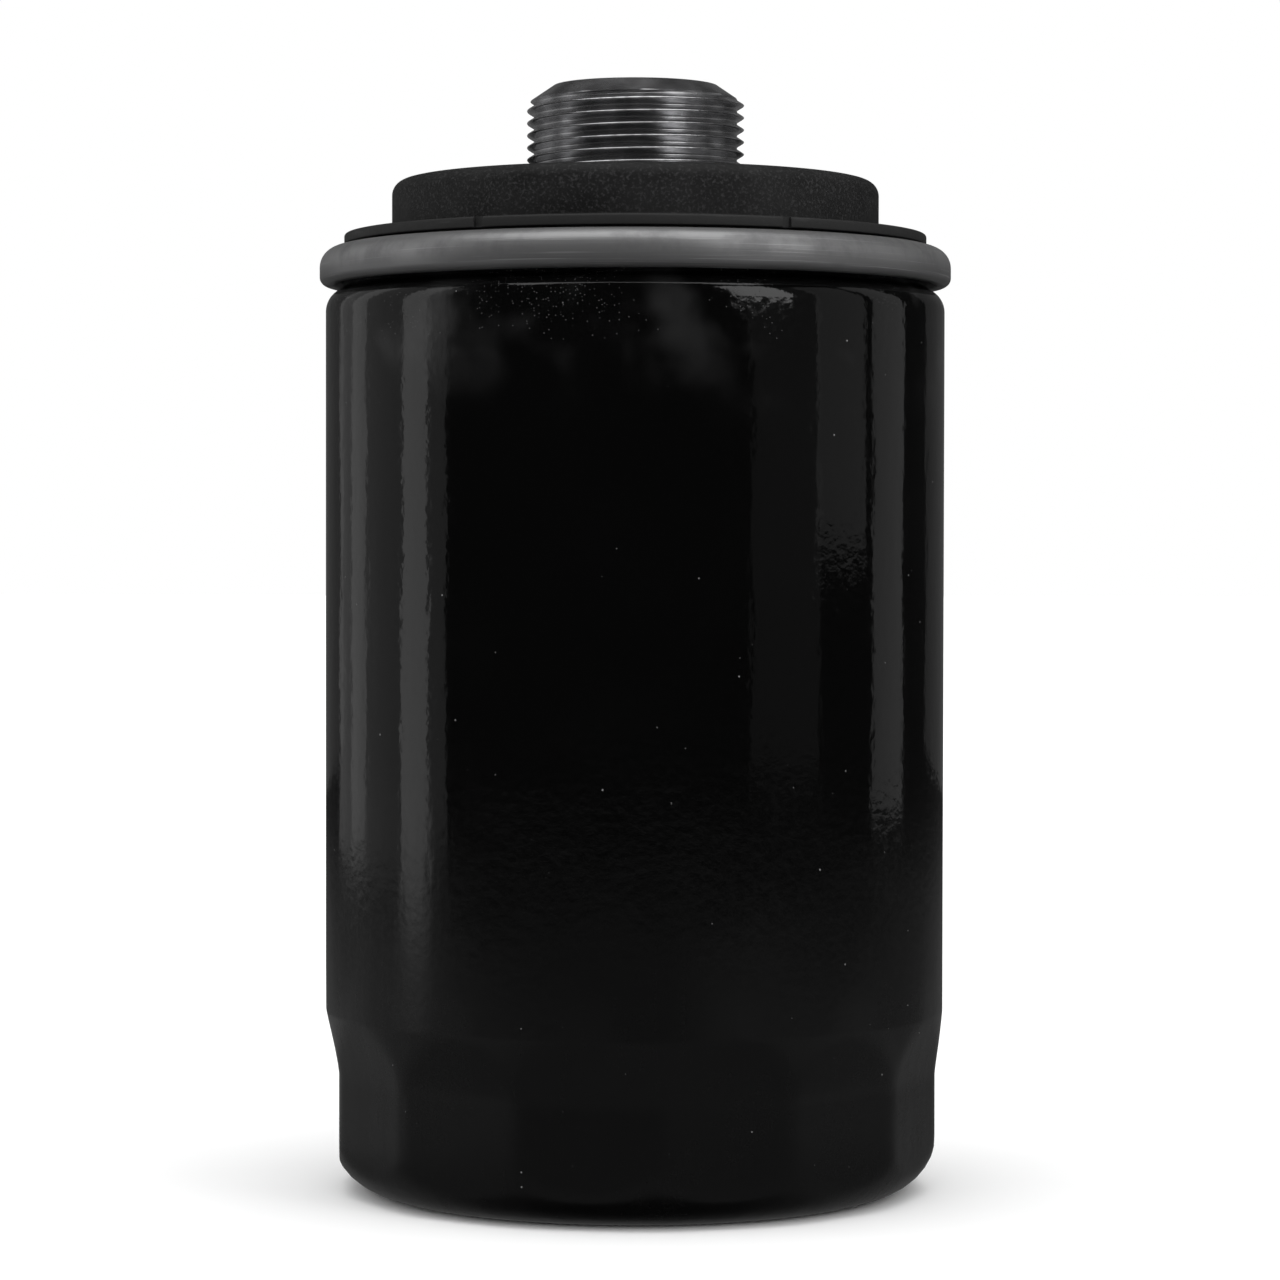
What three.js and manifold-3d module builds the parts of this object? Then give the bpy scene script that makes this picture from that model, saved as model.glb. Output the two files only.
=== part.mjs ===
// Spin-on oil filter, in millimetres, +Z up.
// It stands on its closed end: the origin is the middle of the foot, and the threaded stub points up.
import * as THREE from 'three';
import { mergeVertices } from 'three/addons/utils/BufferGeometryUtils.js';
import Module from 'manifold-3d';

const wasm = await Module();
wasm.setup();

// ---- driving sizes ----
const canRadius = 38; // outside of the round wall
const canHeight = 115.5; // foot to the top of the rolled seam
const sheet = 0.6; // steel of the can, the lid and the end caps
const gap = 0.35; // between pieces that touch on the real filter
const flatCount = 14; // wrench flats round the closed end
const flatPhase = 4.9; // degrees from the front (-Y) towards +X to one corner between flats
const fluteInset = 0.7; // how far the corners lie inside the round wall
const flatTop = 14.5; // height up to which the flats are fully formed
const flatBlend = 7.5; // height over which they run out into the wall
const flatFade = 1.4; // power of the curve by which they run out
const footEdgeRadius = 7;
const panelLift = 1.6; // the closed end's centre is pressed in this far
const panelShare = 0.54; // radius of that pressed-in panel, as a share of the wall's
const panelFootShare = 0.6; // the same where its slope reaches the foot
const seamOverhang = 0.75; // rolled seam beyond the wall
const seamHeight = 4.7;
const seamTopBend = 2.5;
const seamBottomBend = 1;
const shoulderBend = 2.9; // rounding of the can's shoulder under the seam
const shoulderRise = 1; // height the shoulder gains on its way in to the neck
const retainerInset = 3; // black disc's edge, inside the seam's
const retainerHeight = 1.6; // black disc above the seam
const retainerRim = 3; // depth of its rim in the lid's channel
const notchCount = 6;
const notchWidth = 1.2;
const gasketShare = 0.787; // rubber ring's radius, as a share of the wall's
const gasketWall = 5.4; // rubber from inside to outside
const gasketHeight = 6.6; // rubber ring above the disc
const gasketRounding = 1.8;
const gasketFlare = 0.5;
const stubHeight = 11.8; // thread above the rubber ring
const threadRadius = 13.35; // M27 x 1.5, outside of the crests
const threadPitch = 1.5;
const threadDepth = 0.88;
const boreRadius = 8.6;
const leadWall = 1.5; // wall left at the stub's end by the lead chamfer
const leadSlope = 0.68; // fall of that chamfer for each millimetre outwards
const shankRelief = 0.15; // plain shank below the thread's root
const beadOverhang = 0.65; // rolled-over bead beyond the thread
const beadHeight = 1;
const flangeOverhang = 2.65; // flange under the plate, beyond the thread
const flangeThickness = 3;
const spigotWall = 2.7;
const spigotLength = 4.9;
const plateThickness = 3.4;
const inletCount = 8;
const inletShare = 0.33; // an inlet's radius, as a share of the way from the flange to the gasket
const skirtSheet = 1.2; // rubber of the anti-drainback skirt
const sealWall = 2.2;
const sealFlange = 1.3;
const elementPlay = 1.6; // from the element's caps to the can
const capBend = 0.9;
const capRim = 4.4;
const capBottom = 20.6; // underside of the lower end cap
const glueDepth = 1.5;
const pleatCount = 32;
const mediaThickness = 0.45;
const clipSheet = 0.4;
const slotRows = 6;
const slotsPerRow = 6;
const slotHeight = 5;
const slotWidth = 3.4;
const bypassWall = 1.5;
const bypassFlangeWidth = 3.2;
const bypassFlangeHeight = 2.2;
const poppetPlay = 3; // from the poppet's edge to the body's wall
const poppetSheet = 1;
const orificeOverlap = 2.5; // poppet beyond the orifice
const stemRadius = 2;
const bypassSealSheet = 0.8;
const bypassSpringHeight = 11.5;
const bypassSpringTurns = 4.5;
const bypassWire = 0.5;
const cageSheet = 1.2;
const cageHoleRadius = 1.4;
const cageHoleCount = 8;
const springSeatSheet = 0.8;
const supportWire = 1;
const supportTurns = 3.5;

// ---- roundness ----
const fine = 36; // sides of the outer rings
const coarse = 24; // sides of the pieces inside
const bendSteps = 2;

// ---- levels and radii shared by neighbours ----
const seamRadius = canRadius + seamOverhang;
const layer = sheet + gap; // one layer of the double seam
const neckRadius = seamRadius - 3 * layer; // outside of the can's neck, inside the hooks
const chuckRadius = seamRadius - 4 * layer - sheet; // inside of the lid's sunk wall
const seamBottom = canHeight - seamHeight;
const retainerTop = canHeight + retainerHeight;
const retainerBottom = canHeight + gap;
const retainerRadius = seamRadius - retainerInset;
const gasketTop = retainerTop + gasketHeight;
const gasketRadius = canRadius * gasketShare;
const gasketInner = gasketRadius - gasketWall;
const stubTop = gasketTop + stubHeight;
const lidPanelTop = canHeight - 1;
const channelWidth = 2.15; // from the lid's sunk wall to its raised panel
const lidStepRadius = chuckRadius - channelWidth;
const plateTop = lidPanelTop - sheet - gap;
const plateBottom = plateTop - plateThickness;
const plateRadius = lidStepRadius - layer;
const shankRadius = threadRadius - threadDepth - shankRelief;
const flangeRadius = threadRadius + flangeOverhang;
const flangeTop = plateBottom - gap;
const flangeBottom = flangeTop - flangeThickness;
const spigotRadius = boreRadius + spigotWall;
const sealInner = spigotRadius + gap;
const sealOuter = sealInner + sealWall;
const neckInner = sealOuter + gap; // neck of the top end cap
const neckOuter = neckInner + sheet;
const neckTop = flangeBottom - gap - sealFlange - gap;
const capNeckHeight = 3.8;
const topCapTop = neckTop - capNeckHeight;
const fluteCorner = canRadius - fluteInset;
const fluteApothem = fluteCorner * Math.cos(Math.PI / flatCount);
const elementRadius = fluteApothem - sheet - elementPlay;
const tubeInner = neckInner - 0.2;
const tubeOuter = tubeInner + sheet;
const glueInner = tubeOuter + gap;
const glueOuter = elementRadius - layer;
const lowerGlueBottom = capBottom + sheet + gap;
const upperGlueTop = topCapTop - sheet - gap;
const mediaBottom = lowerGlueBottom + glueDepth + gap;
const mediaTop = upperGlueTop - glueDepth - gap;
const mediaOuter = glueOuter - 0.6;
const mediaInner = glueInner + 1.1;
const bypassOuter = tubeInner - gap - sheet - gap;
const bypassInner = bypassOuter - bypassWall;
const bypassFlangeTop = capBottom - gap;
const bypassFloor = bypassFlangeTop - bypassFlangeHeight;
const seatTop = bypassFlangeTop + 0.4;
const poppetRadius = bypassInner - poppetPlay;
const orifice = poppetRadius - orificeOverlap;
const poppetBottom = seatTop + gap + bypassSealSheet + gap;
const poppetTop = poppetBottom + poppetSheet;
const cageBottom = poppetTop + gap + bypassSpringHeight + gap;
const cageTop = cageBottom + cageSheet;
const springSeatTop = bypassFloor - gap;
const supportBottom = panelLift + sheet + gap;
const supportTop = springSeatTop - springSeatSheet - gap;

// ---- shaping helpers ----
function toSolid(geometry) {
  const bare = geometry.index ? geometry.toNonIndexed() : geometry.clone();
  bare.deleteAttribute('normal');
  bare.deleteAttribute('uv');
  const merged = mergeVertices(bare, 1e-4);
  const mesh = new wasm.Mesh({
    numProp: 3,
    vertProperties: new Float32Array(merged.attributes.position.array),
    triVerts: new Uint32Array(merged.index.array),
  });
  return new wasm.Manifold(mesh);
}

function toGeometry(solid) {
  const mesh = solid.getMesh();
  const geometry = new THREE.BufferGeometry();
  geometry.setAttribute('position', new THREE.BufferAttribute(Float32Array.from(mesh.vertProperties), 3));
  geometry.setIndex(new THREE.BufferAttribute(Uint32Array.from(mesh.triVerts), 1));
  geometry.computeVertexNormals();
  return geometry;
}

function signedArea(profile) {
  return profile.reduce((sum, [r, z], i) => {
    const [nextR, nextZ] = profile[(i + 1) % profile.length];
    return sum + (r * nextZ - nextR * z) / 2;
  }, 0);
}

// A closed outline of [radius, height] corners turned about Z. Angles start at the front (-Y).
function turn(profile, sides) {
  const upright = signedArea(profile) > 0 ? profile : [...profile].reverse();
  const start = upright.findIndex(([r], i) => r === 0 && upright.at(i - 1)[0] === 0);
  const ordered = start < 0 ? [...upright, upright[0]] : [...upright.slice(start), ...upright.slice(0, start)];
  const points = ordered.map(([r, z]) => new THREE.Vector2(r, z));
  return toSolid(new THREE.LatheGeometry(points, sides).rotateX(Math.PI / 2));
}

function ring(inner, outer, bottom, top, sides) {
  return turn([[inner, bottom], [outer, bottom], [outer, top], [inner, top]], sides);
}

// Rounds the corners of an open line given as [x, y, bend radius].
function rounded(corners, steps = bendSteps) {
  const line = [];
  corners.forEach(([x, y, bend], i) => {
    const here = new THREE.Vector2(x, y);
    if (!bend) {
      line.push([x, y]);
      return;
    }
    const back = new THREE.Vector2(...corners[i - 1].slice(0, 2)).sub(here).normalize();
    const on = new THREE.Vector2(...corners[i + 1].slice(0, 2)).sub(here).normalize();
    const half = Math.acos(back.dot(on)) / 2;
    const reach = bend / Math.tan(half);
    const centre = back.clone().add(on).normalize().multiplyScalar(bend / Math.sin(half)).add(here);
    const from = here.clone().addScaledVector(back, reach).sub(centre);
    const sweep = Math.PI - 2 * half;
    const side = Math.sign(back.cross(on));
    for (let step = 0; step <= steps; step += 1) {
      const spoke = from.clone().rotateAround(new THREE.Vector2(), (-side * sweep * step) / steps);
      line.push([centre.x + spoke.x, centre.y + spoke.y]);
    }
  });
  return line;
}

// Moves a line sideways, to its left for a positive distance.
function beside(line, distance, closed = false) {
  const last = line.length - 1;
  const normal = (from, to) => new THREE.Vector2(from[1] - to[1], to[0] - from[0]).normalize();
  return line.map((point, i) => {
    const before = closed ? line.at(i - 1) : line[Math.max(i - 1, 0)];
    const after = closed ? line[(i + 1) % line.length] : line[Math.min(i + 1, last)];
    const first = before === point ? normal(point, after) : normal(before, point);
    const second = after === point ? first : normal(point, after);
    const mitre = first.clone().add(second).divideScalar(1 + first.dot(second));
    return [point[0] + mitre.x * distance, point[1] + mitre.y * distance];
  });
}

// Outline of bent sheet: one face follows the corners, the other lies to its left.
function bentSheet(corners, thickness, steps = bendSteps) {
  const face = rounded(corners, steps);
  return [...face, ...beside(face, thickness).reverse()];
}

function aroundZ(solid, count, phase = 0) {
  const copies = Array.from({ length: count }, (_, i) => solid.rotate([0, 0, phase + (i * 360) / count]));
  return wasm.Manifold.union(copies);
}

function post(radius, bottom, top, x, sides) {
  const geometry = new THREE.CylinderGeometry(radius, radius, top - bottom, sides).rotateX(Math.PI / 2);
  return toSolid(geometry.translate(x, 0, (bottom + top) / 2));
}

class Coil extends THREE.Curve {
  constructor(bottomRadius, topRadius, bottom, top, turns) {
    super();
    Object.assign(this, { bottomRadius, topRadius, bottom, top, turns });
  }

  getPoint(t, target = new THREE.Vector3()) {
    const flat = 0.5 / this.turns; // half a turn lies flat at each end
    const rise = THREE.MathUtils.clamp((t - flat) / (1 - 2 * flat), 0, 1);
    const radius = THREE.MathUtils.lerp(this.bottomRadius, this.topRadius, rise);
    const angle = t * this.turns * 2 * Math.PI;
    const height = THREE.MathUtils.lerp(this.bottom, this.top, rise);
    return target.set(radius * Math.cos(angle), radius * Math.sin(angle), height);
  }
}

function coilSpring(bottomRadius, topRadius, bottom, top, turns, wire, stepsPerTurn) {
  const path = new Coil(bottomRadius, topRadius, bottom + wire, top - wire, turns);
  const sides = 6;
  const corner = (i) => new THREE.Vector2(wire, 0).rotateAround(new THREE.Vector2(), (i * 2 * Math.PI) / sides);
  const section = new THREE.Shape(Array.from({ length: sides }, (_, i) => corner(i)));
  const steps = Math.round(turns * stepsPerTurn);
  return toSolid(new THREE.ExtrudeGeometry(section, { steps, bevelEnabled: false, extrudePath: path }));
}

// ---- can: deep-drawn cup with wrench flats, necked in at the top and hooked into the seam ----
// The cup's shape moved inwards by an inset, so that the same lines make its outside and its inside.
function cup(inset, top) {
  const radius = canRadius - inset;
  const bottom = inset;
  const foot = fluteCorner - inset;
  const edge = rounded([
    [0, bottom],
    [foot, bottom, footEdgeRadius - inset],
    [foot, flatTop],
    [radius, flatTop + flatBlend],
    [radius, top],
  ], 3).slice(1);
  const panel = [
    [0, bottom + panelLift],
    [canRadius * panelShare, bottom + panelLift],
    [canRadius * panelFootShare, bottom],
  ];
  const round = turn([...panel, ...edge, [0, top]], fine);
  const stretch = 1 / Math.cos(Math.PI / flatCount);
  const wide = (canRadius + 1) * stretch;
  const runOut = Array.from({ length: 5 }, (_, i) => {
    const rise = i / 4;
    const apothem = fluteApothem + (canRadius - fluteApothem) * rise ** flatFade - inset;
    return [apothem * stretch, flatTop + flatBlend * rise];
  });
  const flats = [[0, -1], [(fluteApothem - inset) * stretch, -1], ...runOut, [wide, flatTop + flatBlend + 1]];
  const prism = turn([...flats, [wide, top + 1], [0, top + 1]], flatCount);
  return round.intersect(prism.rotate([0, 0, flatPhase]));
}

const cupTop = flatTop + flatBlend + 15; // where the fluted foot meets the round wall
const shoulderTop = seamBottom - gap;
const hookTop = canHeight - sheet - gap - sheet; // underside of the can's fold
const hookBend = seamTopBend - sheet - layer; // keeps the layers of the seam apart at its edge
const hookInner = neckRadius + layer + gap;
const neckLine = [
  [canRadius, cupTop],
  [canRadius, shoulderTop - shoulderRise, shoulderBend],
  [neckRadius, shoulderTop, 0.5],
  [neckRadius, hookTop, 0.3],
  [hookInner, hookTop, hookBend],
  [hookInner, seamBottom + layer],
];
const hollow = cup(sheet, cupTop + 1);
const can = cup(0, cupTop).subtract(hollow).add(turn(bentSheet(neckLine, sheet), fine));

// ---- seaming lid: thin disc rolled round the can's hook, with a raised panel under the rubber ring ----
const compoundTop = hookTop - gap - 0.2;
const compoundBottom = compoundTop - 0.6;
const lidHookEnd = compoundBottom - gap;
const lidHook = neckRadius + gap;
const channelBottom = seamBottom - 0.4;
const channelBend = 0.8;
const lidLine = [
  [lidHook, lidHookEnd],
  [lidHook, seamBottom, seamBottomBend],
  [seamRadius, seamBottom, seamBottomBend],
  [seamRadius, canHeight, seamTopBend],
  [chuckRadius, canHeight, 1.2],
  [chuckRadius, channelBottom, channelBend],
  [lidStepRadius, channelBottom, channelBend],
  [lidStepRadius, lidPanelTop, 1],
  [gasketInner, lidPanelTop],
];
const lid = turn(bentSheet(lidLine, sheet), fine);
const compound = ring(lidHook, lidHook + sheet, compoundBottom, compoundTop, fine);

// ---- base plate: thick disc with the inlet holes, carrying the stub ----
const inletSpan = gasketInner - flangeRadius;
const inletRadius = inletSpan * inletShare;
const inletCircle = flangeRadius + inletSpan / 2;
const inlets = aroundZ(post(inletRadius, plateBottom - 1, plateTop + 1, inletCircle, 12), inletCount);
const basePlate = ring(shankRadius + gap, plateRadius, plateBottom, plateTop, coarse).subtract(inlets);

// ---- threaded stub: flanged below the plate, rolled over above it, bored right through ----
const threadLap = 0.004; // radians by which the two halves of a turn overlap
// Half a turn of thread: its outline is drawn out straight, then wound up the helix.
function halfThread(bottom, top) {
  const turns = Math.ceil((top - bottom) / threadPitch) + 2;
  const root = threadRadius - threadDepth;
  const outline = [[boreRadius - 1, bottom - threadPitch]];
  for (let i = 0; i < turns; i += 1) {
    const base = bottom - threadPitch + i * threadPitch;
    outline.push([root, base]);
    outline.push([threadRadius, base + threadPitch * 0.42]);
    outline.push([threadRadius, base + threadPitch * 0.58]);
  }
  const end = bottom - threadPitch + turns * threadPitch;
  outline.push([root, end], [boreRadius - 1, end]);
  const shape = new THREE.Shape(outline.map(([r, z]) => new THREE.Vector2(r, z)));
  const steps = coarse / 2;
  const wound = new THREE.ExtrudeGeometry(shape, { depth: 1, steps, bevelEnabled: false });
  const place = wound.attributes.position;
  for (let i = 0; i < place.count; i += 1) {
    const angle = threadLap - (Math.PI + 2 * threadLap) * place.getZ(i);
    const r = place.getX(i);
    const z = place.getY(i) + (threadPitch * angle) / (2 * Math.PI);
    place.setXYZ(i, r * Math.cos(angle), r * Math.sin(angle), z);
  }
  return toSolid(wound);
}

const beadBottom = plateTop + gap;
const beadTop = beadBottom + beadHeight;
const beadRadius = threadRadius + beadOverhang;
const spigotBottom = flangeBottom - spigotLength;
const firstHalf = halfThread(beadTop, stubTop);
const threads = firstHalf.add(firstHalf.rotate([0, 0, 180]).translate([0, 0, threadPitch / 2]));
const leadTop = boreRadius + leadWall;
const leadRun = threadRadius + 1 - leadTop;
const threadLimit = turn([
  [boreRadius, beadTop - 0.2],
  [threadRadius + 1, beadTop - 0.2],
  [threadRadius + 1, stubTop - leadRun * leadSlope],
  [leadTop, stubTop],
  [boreRadius, stubTop],
], coarse);
const stubBody = turn([
  [boreRadius, spigotBottom],
  [spigotRadius, spigotBottom],
  [spigotRadius, flangeBottom],
  [flangeRadius, flangeBottom],
  [flangeRadius, flangeTop],
  [shankRadius, flangeTop],
  [shankRadius, beadBottom],
  [beadRadius, beadBottom],
  [beadRadius, beadTop - 0.4],
  [threadRadius - threadDepth / 2, beadTop],
  [boreRadius, beadTop],
], coarse);
const stub = threads.intersect(threadLimit).add(stubBody);

// ---- gasket: tall rubber ring on the lid's panel, its foot held down by the retainer ----
const footTop = retainerBottom - gap;
const footRadius = lidStepRadius - 0.7;
const gasketEdge = rounded([
  [gasketRadius, retainerTop],
  [gasketRadius, gasketTop, gasketRounding],
  [gasketInner, gasketTop],
], 3);
const gasket = turn([
  [gasketInner, lidPanelTop + gap],
  [footRadius, lidPanelTop + gap],
  [footRadius, footTop],
  [gasketRadius + gasketFlare, footTop],
  [gasketRadius + gasketFlare, retainerTop],
  [gasketRadius, retainerTop + gasketFlare],
  ...gasketEdge.slice(1, -1),
  [gasketInner + 0.6, gasketTop],
  [gasketInner, gasketTop - 0.6],
], fine);

// ---- gasket retainer: black disc over the gasket's foot, its rim dropped into the lid's channel ----
const retainerHole = gasketRadius + gasketFlare + gap;
const rimInner = lidStepRadius + gap + 0.35;
const rimOuter = chuckRadius - gap;
const rimBottom = retainerBottom - retainerRim;
const retainerDisc = turn([
  [retainerHole, retainerBottom],
  [rimInner, retainerBottom],
  [rimInner, rimBottom],
  [rimOuter, rimBottom],
  [rimOuter, retainerBottom],
  [retainerRadius, retainerBottom],
  [retainerRadius, retainerTop - 0.3],
  [retainerRadius - 0.3, retainerTop],
  [retainerHole, retainerTop],
], fine);
const notchTool = new THREE.BoxGeometry(0.8, notchWidth, 4).translate(retainerRadius, 0, retainerTop);
const retainer = retainerDisc.subtract(aroundZ(toSolid(notchTool), notchCount));

// ---- anti-drainback valve: rubber skirt closing the inlet holes from inside ----
const cuffInner = neckOuter + gap;
const lipRadius = (plateRadius + inletCircle + inletRadius) / 2;
const cuffTop = neckTop - 0.3;
const drainbackLine = [
  [cuffInner, topCapTop + 1],
  [cuffInner, cuffTop, 0.8],
  [lipRadius - 1.2, flangeTop, 0.8],
  [lipRadius + 0.6, flangeTop],
];
const drainback = turn(bentSheet(drainbackLine, -skirtSheet), coarse);

// ---- element seal: rubber grommet between the end cap's neck and the stub's spigot ----
const elementSeal = turn([
  [sealInner, topCapTop + 0.4],
  [sealOuter, topCapTop + 0.4],
  [sealOuter, neckTop + gap],
  [neckOuter, neckTop + gap],
  [neckOuter, flangeBottom - gap],
  [sealInner, flangeBottom - gap],
], coarse);

// ---- filter element: two pressed caps, glue, pleated paper, clip and perforated tube ----
const topCapLine = [
  [elementRadius, topCapTop - capRim],
  [elementRadius, topCapTop, capBend],
  [neckOuter, topCapTop, capBend],
  [neckOuter, neckTop],
];
const topCap = turn(bentSheet(topCapLine, sheet), coarse);
const lowNeck = tubeInner - gap - sheet;
const bottomCapLine = [
  [elementRadius, capBottom + capRim],
  [elementRadius, capBottom, capBend],
  [lowNeck, capBottom, capBend],
  [lowNeck, capBottom + 4],
];
const bottomCap = turn(bentSheet(bottomCapLine, -sheet), coarse);
const upperGlue = ring(glueInner, glueOuter, upperGlueTop - glueDepth, upperGlueTop, coarse);
const lowerGlue = ring(glueInner, glueOuter, lowerGlueBottom, lowerGlueBottom + glueDepth, coarse);

const pleatAngle = (2 * Math.PI) / pleatCount;
const outerFold = pleatAngle * 0.23; // half the width of a fold, as an angle
const innerFold = pleatAngle * 0.21;
const pleatLine = Array.from({ length: pleatCount }, (_, i) => {
  const middle = i * pleatAngle;
  const at = (radius, angle) => [radius * Math.cos(angle), radius * Math.sin(angle)];
  return [
    at(mediaOuter, middle - outerFold),
    at(mediaOuter, middle + outerFold),
    at(mediaInner, middle + pleatAngle / 2 - innerFold),
    at(mediaInner, middle + pleatAngle / 2 + innerFold),
  ];
}).flat();

function prism(outline, holes, bottom, top) {
  const shape = new THREE.Shape(outline.map(([x, y]) => new THREE.Vector2(x, y)));
  shape.holes = holes.map((hole) => new THREE.Path(hole.map(([x, y]) => new THREE.Vector2(x, y))));
  const geometry = new THREE.ExtrudeGeometry(shape, { depth: top - bottom, bevelEnabled: false });
  return toSolid(geometry.translate(0, 0, bottom));
}

const pleatOutside = beside(pleatLine, -mediaThickness / 2, true);
const pleatInside = beside(pleatLine, mediaThickness / 2, true);
const media = prism(pleatOutside, [pleatInside], mediaBottom, mediaTop);

// The clip is a channel folded over one outer fold of the paper.
const clipDepth = 4.5;
const clipHalf = mediaOuter * outerFold + mediaThickness / 2 + gap + clipSheet;
const clipBack = mediaOuter + mediaThickness / 2 + gap + clipSheet;
const clipLine = [
  [clipBack - clipDepth, -clipHalf],
  [clipBack, -clipHalf],
  [clipBack, clipHalf],
  [clipBack - clipDepth, clipHalf],
];
const clipBottom = capBottom + capRim + gap;
const clipTop = topCapTop - capRim - gap;
const clip = prism(bentSheet(clipLine, clipSheet), [], clipBottom, clipTop);

const slotEdge = 3; // plain tube above the cage and below the top cap
const slotPitch = (upperGlueTop - cageTop - 2 * slotEdge) / slotRows;
const slotBlock = new THREE.BoxGeometry(tubeOuter * 2 + 2, slotWidth, slotHeight);
const slotTool = toSolid(slotBlock);
const slots = Array.from({ length: slotRows }, (_, row) => {
  const height = cageTop + slotEdge + slotPitch * (row + 0.5);
  const turned = aroundZ(slotTool, slotsPerRow / 2, (row % 2) * (180 / slotsPerRow));
  return turned.translate([0, 0, height]);
});
const tubeBlank = ring(tubeInner, tubeOuter, lowerGlueBottom, upperGlueTop, coarse);
const centreTube = tubeBlank.subtract(wasm.Manifold.union(slots));

// ---- bypass valve: body in the lower cap, sprung poppet with its seal, and the cage above the spring ----
const lipBottom = cageTop + gap;
const lipTop = lipBottom + 0.8;
const lipInner = bypassInner - 1.1;
const seatOuter = orifice + 1.4;
const bypassFlange = bypassOuter + bypassFlangeWidth;
const bypassBody = turn([
  [orifice, bypassFloor],
  [bypassFlange, bypassFloor],
  [bypassFlange, bypassFlangeTop],
  [bypassOuter, bypassFlangeTop],
  [bypassOuter, lipTop],
  [lipInner, lipTop],
  [lipInner, lipBottom],
  [bypassInner, lipBottom],
  [bypassInner, bypassFlangeTop],
  [seatOuter, bypassFlangeTop],
  [seatOuter, seatTop],
  [orifice, seatTop],
], coarse);
const bossRadius = stemRadius + 0.3;
const poppet = turn([
  [0, seatTop + gap],
  [bossRadius, seatTop + gap],
  [bossRadius, poppetBottom],
  [poppetRadius, poppetBottom],
  [poppetRadius, poppetTop],
  [stemRadius + 1, poppetTop],
  [stemRadius, poppetTop + 1],
  [stemRadius, cageTop + 0.4],
  [0, cageTop + 0.4],
], 20);
const poppetSeal = ring(bossRadius + gap, poppetRadius, seatTop + gap, poppetBottom - gap, 20);
const cageRadius = bypassInner - gap;
const cageHole = post(cageHoleRadius, cageBottom - 1, cageTop + 1, cageRadius - 2.2, 8);
const cageDisc = ring(stemRadius + gap, cageRadius, cageBottom, cageTop, coarse);
const cage = cageDisc.subtract(aroundZ(cageHole, cageHoleCount));
const bypassCoil = (poppetRadius + stemRadius) / 2;
const bypassSpring = coilSpring(
  bypassCoil,
  bypassCoil,
  poppetTop + gap,
  cageBottom - gap,
  bypassSpringTurns,
  bypassWire,
  14,
);

// ---- support spring: conical coil pressing the element up against the stub, with a seat on top ----
const supportTopRadius = bypassOuter + 1.6;
const supportBottomRadius = canRadius * panelShare - 3.5;
const seatRim = supportTopRadius + supportWire + gap + springSeatSheet;
const springSeatLine = [
  [orifice + 3, springSeatTop],
  [seatRim, springSeatTop, capBend],
  [seatRim, springSeatTop - 2.6],
];
const springSeat = turn(bentSheet(springSeatLine, -springSeatSheet), coarse);
const supportSpring = coilSpring(
  supportBottomRadius,
  supportTopRadius,
  supportBottom,
  supportTop,
  supportTurns,
  supportWire,
  16,
);

// ---- the assembly ----
const steel = { roughness: 0.38, metalness: 0.9 };
const rubber = { roughness: 0.85, metalness: 0 };
const pieces = [
  ['can', can, 0x0b0b0c, { roughness: 0.22, metalness: 0.1 }],
  ['seaming_lid', lid, 0x6c6c6e, steel],
  ['seam_compound', compound, 0x8a3b2a, rubber],
  ['base_plate', basePlate, 0x77777a, steel],
  ['threaded_stub', stub, 0x56565a, steel],
  ['gasket', gasket, 0x1c1c1d, rubber],
  ['gasket_retainer', retainer, 0x2a2a2c, { roughness: 0.6, metalness: 0.1 }],
  ['anti_drainback_valve', drainback, 0x242425, rubber],
  ['element_seal', elementSeal, 0x1a1a1b, rubber],
  ['top_end_cap', topCap, 0xa8a9a6, steel],
  ['upper_adhesive', upperGlue, 0xb9a27a, rubber],
  ['pleated_media', media, 0xd8bf86, { roughness: 0.95, metalness: 0 }],
  ['pleat_seam_clip', clip, 0x9a9b9c, steel],
  ['centre_tube', centreTube, 0x8f9194, steel],
  ['lower_adhesive', lowerGlue, 0xb9a27a, rubber],
  ['bottom_end_cap', bottomCap, 0xa8a9a6, steel],
  ['bypass_valve_body', bypassBody, 0x2f2f31, { roughness: 0.55, metalness: 0 }],
  ['bypass_poppet', poppet, 0xd9d6cb, { roughness: 0.5, metalness: 0 }],
  ['bypass_seal', poppetSeal, 0x1d1d1e, rubber],
  ['bypass_spring', bypassSpring, 0x9fa1a4, steel],
  ['bypass_cage', cage, 0x7c7d80, steel],
  ['spring_seat', springSeat, 0x8d8e90, steel],
  ['support_spring', supportSpring, 0x86888b, steel],
];

const filter = new THREE.Group();
filter.name = 'oil_filter';
for (const [name, solid, colour, surface] of pieces) {
  const material = new THREE.MeshStandardMaterial({ color: colour, ...surface });
  const mesh = new THREE.Mesh(toGeometry(solid), material);
  mesh.name = name;
  filter.add(mesh);
}

export default filter;
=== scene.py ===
import math

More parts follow.
